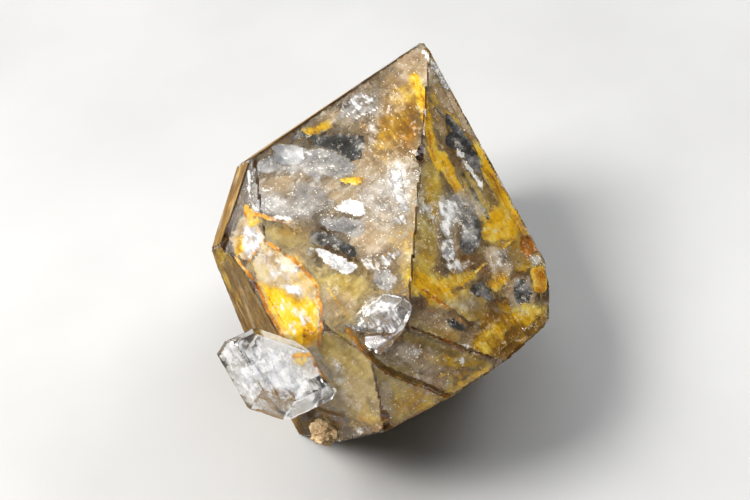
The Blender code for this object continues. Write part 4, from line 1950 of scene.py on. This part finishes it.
# Marks right of the ridge: golden streaks, the dark lens and the rusty corner.
RIGHT_MARKS = (
    Streak(GOLD, ((414, 78), (422, 96), (427, 120), (433, 146), (440, 166)), 3.0, 0.85),
    Streak(RUST, ((420, 88), (425, 108), (430, 140), (436, 160)), 0.9, 0.6),
    Streak(GOLD, ((442, 156), (452, 178), (464, 200)), 3.2),
    Streak(RUST, ((443, 162), (450, 178), (457, 192)), 0.9, 0.6),
    Patch(TAN, ((432, 88), (448, 86), (468, 118), (484, 150), (478, 152), (458, 118), (440, 102)), 0.9, 0.6),
    Patch(TAN, ((440, 100), (446, 108), (446, 140), (436, 128), (432, 108)), 0.7, 0.8),
    Blot(SMOKE, (438, 130), (1.6, 4.4), 0.6, 20.0),
    Streak(SLATE, ((435, 107), (440, 113), (443, 119)), 0.5, 0.9),
    Patch(SLATE, ((446, 110), (453, 118), (461, 128), (470, 140), (477, 152), (483, 166), (480, 174),
        (470, 166), (463, 156), (456, 150), (448, 145), (446, 138), (451, 131), (446, 123)), 1.0, 0.3),
    Streak(SLATE, ((463, 172), (472, 188), (480, 204), (488, 218)), 1.4, 0.6),
    Patch(OLIVE, ((458, 168), (470, 172), (490, 204), (494, 222), (480, 222), (466, 196)), 0.95, 0.7),
    Streak(RUST, ((458, 96), (472, 122), (487, 150), (504, 184)), 1.8, 0.7),
    Streak(GOLD, ((478, 148), (490, 170), (508, 204)), 4.2),
    Patch(GOLD, ((484, 218), (506, 196), (522, 210), (530, 230), (514, 242), (492, 246), (480, 236)),
        0.95, 2.2), Blot(OLIVE, (506, 214), (2.6, 3.4), 0.6, 20.0),
    Blot(SMOKE, (488, 226), (1.6, 3.0), 0.5, 30.0),
    Streak(RUST, ((482, 236), (496, 232), (508, 226)), 1.0, 0.6),
    Patch(RUST, ((520, 236), (534, 232), (541, 252), (528, 260), (519, 252)), 0.9, 0.5),
    Patch(WHITE, ((527, 258), (540, 251), (544, 262), (532, 268)), 0.75, 1.0),
    Patch(GOLD, ((530, 268), (545, 264), (551, 280), (546, 293), (534, 292)), 1.0, 0.4),
    Patch(RUST, ((533, 268), (548, 266), (552, 282), (545, 294), (536, 292)), 0.62, 0.8),
    Patch(TAN, ((514, 276), (530, 276), (538, 296), (532, 314), (514, 312), (504, 292)), 0.85, 1.2),
    Patch(SLATE, ((516, 281), (524, 279), (533, 292), (531, 303), (518, 304), (513, 296)), 1.0, 0.4),
    Blot(GREY, (523, 287), (1.4, 1.2), 0.62),
    Patch(TAN, ((482, 248), (508, 244), (516, 262), (510, 280), (492, 276)), 1.0, 1.0),
    Blot(WHITE, (500, 254), (2.0, 1.0), 0.5, 20.0), Blot(WHITE, (508, 268), (1.2, 1.6), 0.5),
    Blot(SMOKE, (490, 270), (2.4, 1.6), 0.4, 30.0), Blot(OLIVE, (514, 258), (2.4, 3.0), 0.6),
    Blot(SLATE, (503, 258), (1.8, 2.4), 0.6, 30.0), Blot(WHITE, (496, 262), (1.6, 1.0), 0.7, 30.0),
    Patch(SLATE, ((471, 286), (480, 282), (494, 292), (493, 301), (480, 298), (470, 292)), 1.0, 0.4),
    Patch(OLIVE, ((454, 292), (472, 286), (486, 300), (487, 318), (470, 322), (452, 308)), 1.0, 0.4),
    Blot(GREY, (466, 306), (3.4, 2.4), 0.45), Blot(SMOKE, (480, 312), (2.0, 3.0), 0.7),
    Patch(SLATE, ((443, 318), (456, 320), (467, 326), (466, 331), (450, 328)), 0.9, 0.5),
    Patch(SLATE, ((461, 221), (468, 214), (478, 216), (482, 230), (481, 245), (474, 255), (464, 254),
        (459, 246), (461, 234)), 0.85, 0.9), Blot(GREY, (468, 232), (1.7, 3.4), 0.66),
    Blot(GREY, (460, 206), (4.0, 3.6), 0.85), Blot(WHITE, (465, 228), (0.8, 1.6), 0.5, 20.0),
    Blot(WHITE, (456, 214), (1.4, 2.6), 0.7, -30.0), Blot(WHITE, (474, 236), (0.6, 0.6), 0.7),
    Patch(OLIVE, ((424, 150), (440, 166), (450, 200), (442, 262), (420, 290), (411, 240), (414, 180)),
        0.9, 2.6), Blot(GOLD, (434, 190), (2.0, 6.0), 0.46, -14.0),
    Blot(GOLD, (424, 262), (3.0, 4.0), 0.42, 20.0), Blot(TAN, (448, 236), (3.0, 7.0), 0.8),
    Blot(GREY, (446, 222), (3.0, 4.0), 0.5), Blot(WHITE, (428, 214), (2.4, 4.4), 0.5, 20.0),
    Blot(OLIVE, (432, 244), (3.4, 5.0), 0.7), Blot(GOLD, (437, 214), (1.6, 4.0), 0.6),
    Blot(GOLD, (430, 286), (6.0, 3.6), 0.9, -12.0), Blot(OLIVE, (444, 300), (4.4, 3.0), 0.9),
    Streak(RUST, ((424, 290), (436, 300), (452, 312), (462, 322)), 0.8, 0.8),
    Blot(GOLD, (455, 280), (5.0, 2.0), 0.8, 10.0), Blot(GOLD, (498, 284), (3.5, 2.0), 0.8, 40.0),
    Patch(SMOKE, ((488, 306), (512, 312), (540, 308), (549, 318), (546, 332), (502, 362), (470, 348),
        (480, 322)), 0.95, 0.8), Blot(GOLD, (526, 314), (6.0, 2.4), 0.62, 10.0),
    Blot(GOLD, (490, 338), (8.0, 2.2), 0.56, 38.0),
    Streak(TAN, ((466, 338), (484, 330), (500, 318)), 0.8, 0.7),
    # Painted glints: the white streak and the three small white blots on these two lines.
    Streak(WHITE, ((524, 330), (536, 324)), 0.4, 0.8), Blot(WHITE, (466, 347), (0.9, 0.7), 0.9),
    Blot(WHITE, (474, 352), (0.7, 0.6), 0.8), Blot(WHITE, (500, 363), (0.9, 0.5), 0.9),
    Patch(SMOKE, ((412, 306), (440, 314), (470, 334), (484, 350), (448, 344), (412, 330)), 0.45, 1.4),
    Blot(OLIVE, (440, 330), (8.0, 3.0), 0.7, -22.0), Blot(TAN, (436, 320), (4.6, 1.8), 0.6, -20.0))

# Marks of the lower front faces.
LOWER_MARKS = (
    Patch(OLIVE, ((318, 334), (346, 330), (366, 356), (392, 376), (446, 398), (400, 428), (350, 420),
        (326, 404), (330, 376), (318, 352)), 1.0, 1.6), Blot(GREY, (336, 372), (1.6, 3.6), 0.55, 34.0),
    Blot(TAN, (352, 392), (5.0, 4.0), 0.5, 10.0),
    Patch(SMOKE, ((330, 418), (372, 420), (404, 424), (452, 396), (460, 402), (408, 440), (330, 444)),
        0.9, 2.6),
    # The gold patch and the tan blot on the next two lines are partly the face's golden colour and partly
    # painted light that lifts the shade this lower right face lies in.
    Patch(GOLD, ((386, 376), (410, 382), (446, 396), (424, 408), (396, 424), (390, 410)), 0.62, 2.0),
    Blot(TAN, (412, 394), (8.0, 4.4), 1.0, 20.0), Blot(GOLD, (362, 420), (5.0, 1.6), 0.5, 6.0),
    Patch(OLIVE, ((372, 362), (396, 364), (436, 378), (452, 390), (410, 380), (384, 370)), 0.9, 0.8),
    Patch(OLIVE, ((404, 330), (440, 342), (500, 366), (486, 374), (446, 366), (404, 356)), 0.85, 1.0),
    Patch(SMOKE, ((412, 336), (440, 345), (480, 362), (446, 358), (412, 346)), 0.35, 0.8),
    Blot(WHITE, (414, 350), (1.4, 0.9), 0.5), Blot(TAN, (418, 358), (6.6, 3.0), 1.0, -18.0),
    Blot(GOLD, (446, 360), (5.0, 1.4), 0.5, -20.0), Blot(TAN, (392, 360), (2.4, 2.4), 0.7),
    Streak(GOLD, ((440, 376), (462, 366), (482, 362)), 1.2, 0.6),
    # The first white blot on the next line is a painted glint.
    Blot(WHITE, (462, 362), (1.0, 0.5), 0.9, 30.0), Blot(WHITE, (336, 366), (0.8, 1.2), 0.8, 30.0),
    Blot(WHITE, (358, 432), (2.0, 1.2), 0.6, 20.0),
    Streak(TAN, ((402, 432), (450, 402), (500, 369)), 1.8, 0.7),
    # The smoke blot at the end of the next line is painted shade in the hollow beside the rock.
    Streak(GOLD, ((420, 408), (452, 390), (486, 371)), 2.2, 0.7), Blot(SMOKE, (306, 424), (3.0, 4.0)))

# Crumpled sheets of minerals under the front faces.
VEILS = Curtain("veil_curtain", 2.4, (
    *UPPER_LEFT_MARKS, *CENTRE_MARKS, *RIGHT_MARKS, *LOWER_MARKS), 1.0, warp=4.5, longest=2.0)
DEEP_HAZE = Curtain("deep_haze", 6.0, (
    Blot(TAN, (370, 190), (60.0, 60.0), 0.45), Blot(SMOKE, (400, 118), (10.0, 12.0), 0.8),
    Blot(TAN, (310, 180), (12.0, 9.0), 0.75), Blot(GOLD, (395, 130), (6.0, 9.0), 0.35),
    Blot(TAN, (400, 215), (13.0, 11.0), 0.8), Blot(OLIVE, (345, 290), (12.0, 8.0), 0.9),
    Blot(OLIVE, (290, 245), (7.0, 5.0), 0.9), Blot(GOLD, (452, 120), (4.0, 14.0), 0.7, 28.0),
    Blot(OLIVE, (470, 215), (10.0, 12.0), 0.8, 20.0), Blot(GOLD, (515, 240), (6.0, 8.0), 1.0, 20.0),
    Blot(SMOKE, (490, 325), (12.0, 6.0), 0.9, -15.0), Blot(GOLD, (520, 318), (6.0, 4.0), 1.0, 20.0),
    Blot(OLIVE, (345, 380), (16.0, 10.0), 0.9, -20.0), Blot(SMOKE, (375, 424), (14.0, 4.0), 0.9, 10.0),
    Blot(SMOKE, (430, 362), (13.0, 3.4), 0.9, -17.0), Blot(OLIVE, (395, 362), (5.0, 3.0), 0.8, -17.0),
    Blot(GOLD, (440, 398), (10.0, 2.6), 0.7, 32.0)),
    2.0, 1.0, 1.2, 0.4, longest=2.0)
FRONT_CURTAINS = (STAIN_FILMS, EDGE_STAIN_AND_SHADE, CRACKS_WITH_PAINTED_REFLECTION, VEILS, DEEP_HAZE)

# Clouds of minerals under the sides, the back and the underside.
REAR_VEILS = FaceVeils("rear_veils", (
    Mottle(OLIVE, 16.0, -0.10, 0.9), Mottle(SMOKE, 14.0, -0.02, 0.9), Mottle(TAN, 12.0, 0.10, 0.9),
    Mottle(GOLD, 15.0, 0.16, 0.9), Mottle(RUST, 6.0, 0.30, 0.9), Mottle(GREY, 12.0, 0.20, 0.7),
    Mottle(WHITE, 10.0, 0.30, 0.8), Mottle(SLATE, 9.0, 0.34, 1.0)))

# Bright, golden and dark flakes over the veils, and fine needles; the bright, golden and needle flakes carry
# a painted glow.
SCATTERED_FLAKES = [
    Flakes("white_flakes", MIRROR_FLAKE, WHITE, 2.2, (0.06, 0.28), 11),
    Flakes("crack_flakes", MIRROR_FLAKE, WHITE, 1.4, (0.06, 0.26), 17, bed="cracks_with_painted_reflection"),
    Flakes("tan_flakes", MIRROR_FLAKE, TAN, 0.8, (0.06, 0.24), 12),
    Flakes("grey_flakes", MIRROR_FLAKE, GREY, 0.8, (0.06, 0.26), 13),
    Flakes("gold_flakes", GOLD_FLAKE, GOLD, 0.8, (0.06, 0.26), 14),
    Flakes("clay_flecks", CLAY_FLECK, SLATE, 1.4, (0.06, 0.26), 15),
    Flakes("olive_flecks", CLAY_FLECK, OLIVE, 0.5, (0.05, 0.14), 18),
    Flakes("needles", MIRROR_FLAKE, WHITE, 0.35, (0.4, 1.1), 16, (1.0, 0.035, 0.035)),
    Flakes("rear_flakes", MIRROR_FLAKE, WHITE, 0.6, (0.08, 0.34), 19, bed="rear_veils")]

# Milky veils and stain in the satellite.
SATELLITE_REACH = (212.0, 322.0, 346.0, 426.0)
SATELLITE_MILK = Curtain("satellite_veils", 1.3, (
    Blot(GREY, (262, 368), (9.0, 7.5), 0.55), Blot(WHITE, (268, 374), (8.0, 6.4), 0.85, -20.0),
    Blot(WHITE, (234, 352), (3.6, 3.2), 0.8), Blot(WHITE, (292, 388), (4.0, 3.0), 0.9),
    Blot(SLATE, (229, 360), (0.6, 1.8), 0.5, 20.0), Blot(TAN, (306, 362), (3.6, 2.6), 0.8),
    Blot(SLATE, (284, 412), (2.8, 1.2), 0.8, -20.0), Blot(TAN, (302, 408), (4.6, 1.8), 0.8, 15.0),
    Blot(SMOKE, (262, 404), (6.0, 1.4), 0.5, -25.0), Blot(WHITE, (316, 388), (2.4, 2.4), 0.5)),
    3.0, 0.85, 0.5, 0.25, pace=1.5, warp=5.0, reach=SATELLITE_REACH)
SATELLITE_STAIN = Curtain("satellite_stain", 0.02, (
    Streak(RUST, ((294, 356), (312, 355), (322, 372), (332, 386)), 1.4, 0.9),
    Blot(GOLD, (302, 360), (2.0, 1.4), 0.7)),
    3.5, pace=1.2, warp=4.0, painted_glitter=0.3, outer=True, reach=SATELLITE_REACH, shade=0.55)

# A pale veil in the clear crystal, and a painted highlight along its rim.
CLEAR_RIM_HIGHLIGHT = ((347, 325), (357, 331), (370, 334), (382, 337), (394, 341), (403, 331), (411, 314), (412, 304),
       (402, 298), (384, 294), (372, 304), (356, 314), (347, 325))
CLEAR_VEILS_AND_RIM_HIGHLIGHT = Curtain("clear_veils_and_painted_rim_highlight", 1.2, (
    Blot(GREY, (384, 316), (7.0, 5.0), 0.62), Blot(WHITE, (384, 308), (2.2, 1.0), 0.9, -20.0),
    Blot(WHITE, (370, 312), (1.2, 0.9), 0.8, 30.0), Blot(WHITE, (396, 334), (1.6, 1.2), 0.8, 30.0),
    Blot(TAN, (400, 308), (2.2, 1.8), 0.5), Streak(WHITE, CLEAR_RIM_HIGHLIGHT, 0.5, 0.9),
    Blot(WHITE, (388, 320), (6.4, 4.2), 0.52), Blot(SLATE, (374, 325), (0.7, 0.7), 0.5)),
    4.0, 0.85, 0.3, 0.2, pace=1.0, warp=3.0, reach=(340.0, 286.0, 420.0, 362.0))


def main() -> None:
    """Build the studio and the specimen, and report its pieces."""
    logging.basicConfig(level=logging.INFO, format="%(name)s %(message)s")
    studio = Studio()
    studio.build()
    crystal = MainCrystal()
    crystal.build()
    crystal.build_remnant()
    planes = crystal.planes()
    interior = Interior(planes, MAIN_CENTRE, studio, bites=crystal.bites())
    beds = {group.name: group.build(interior) for group in FRONT_CURTAINS}
    beds["rear_veils"] = REAR_VEILS.build(interior, interior.unseen_planes)
    PRISM_FILMS.build(interior, interior.grazed_planes)
    for flakes in SCATTERED_FLAKES:
        flakes.build(beds[flakes.bed])
    small_sets = (
        ("satellite_crystal", (SATELLITE,), (SATELLITE_MILK, SATELLITE_STAIN)),
        ("clear_crystal", (CLEAR_BODY, CLEAR_LOBE, CLEAR_BUD), (CLEAR_VEILS_AND_RIM_HIGHLIGHT,)))
    for name, bodies, veils in small_sets:
        crystal.build_small(name, bodies)
        inside = Interior(bodies[0].planes(), MAIN_CENTRE + bodies[0].centre, studio, interior)
        for veil in veils:
            veil.build(inside)


if __name__ == "__main__":
    main()
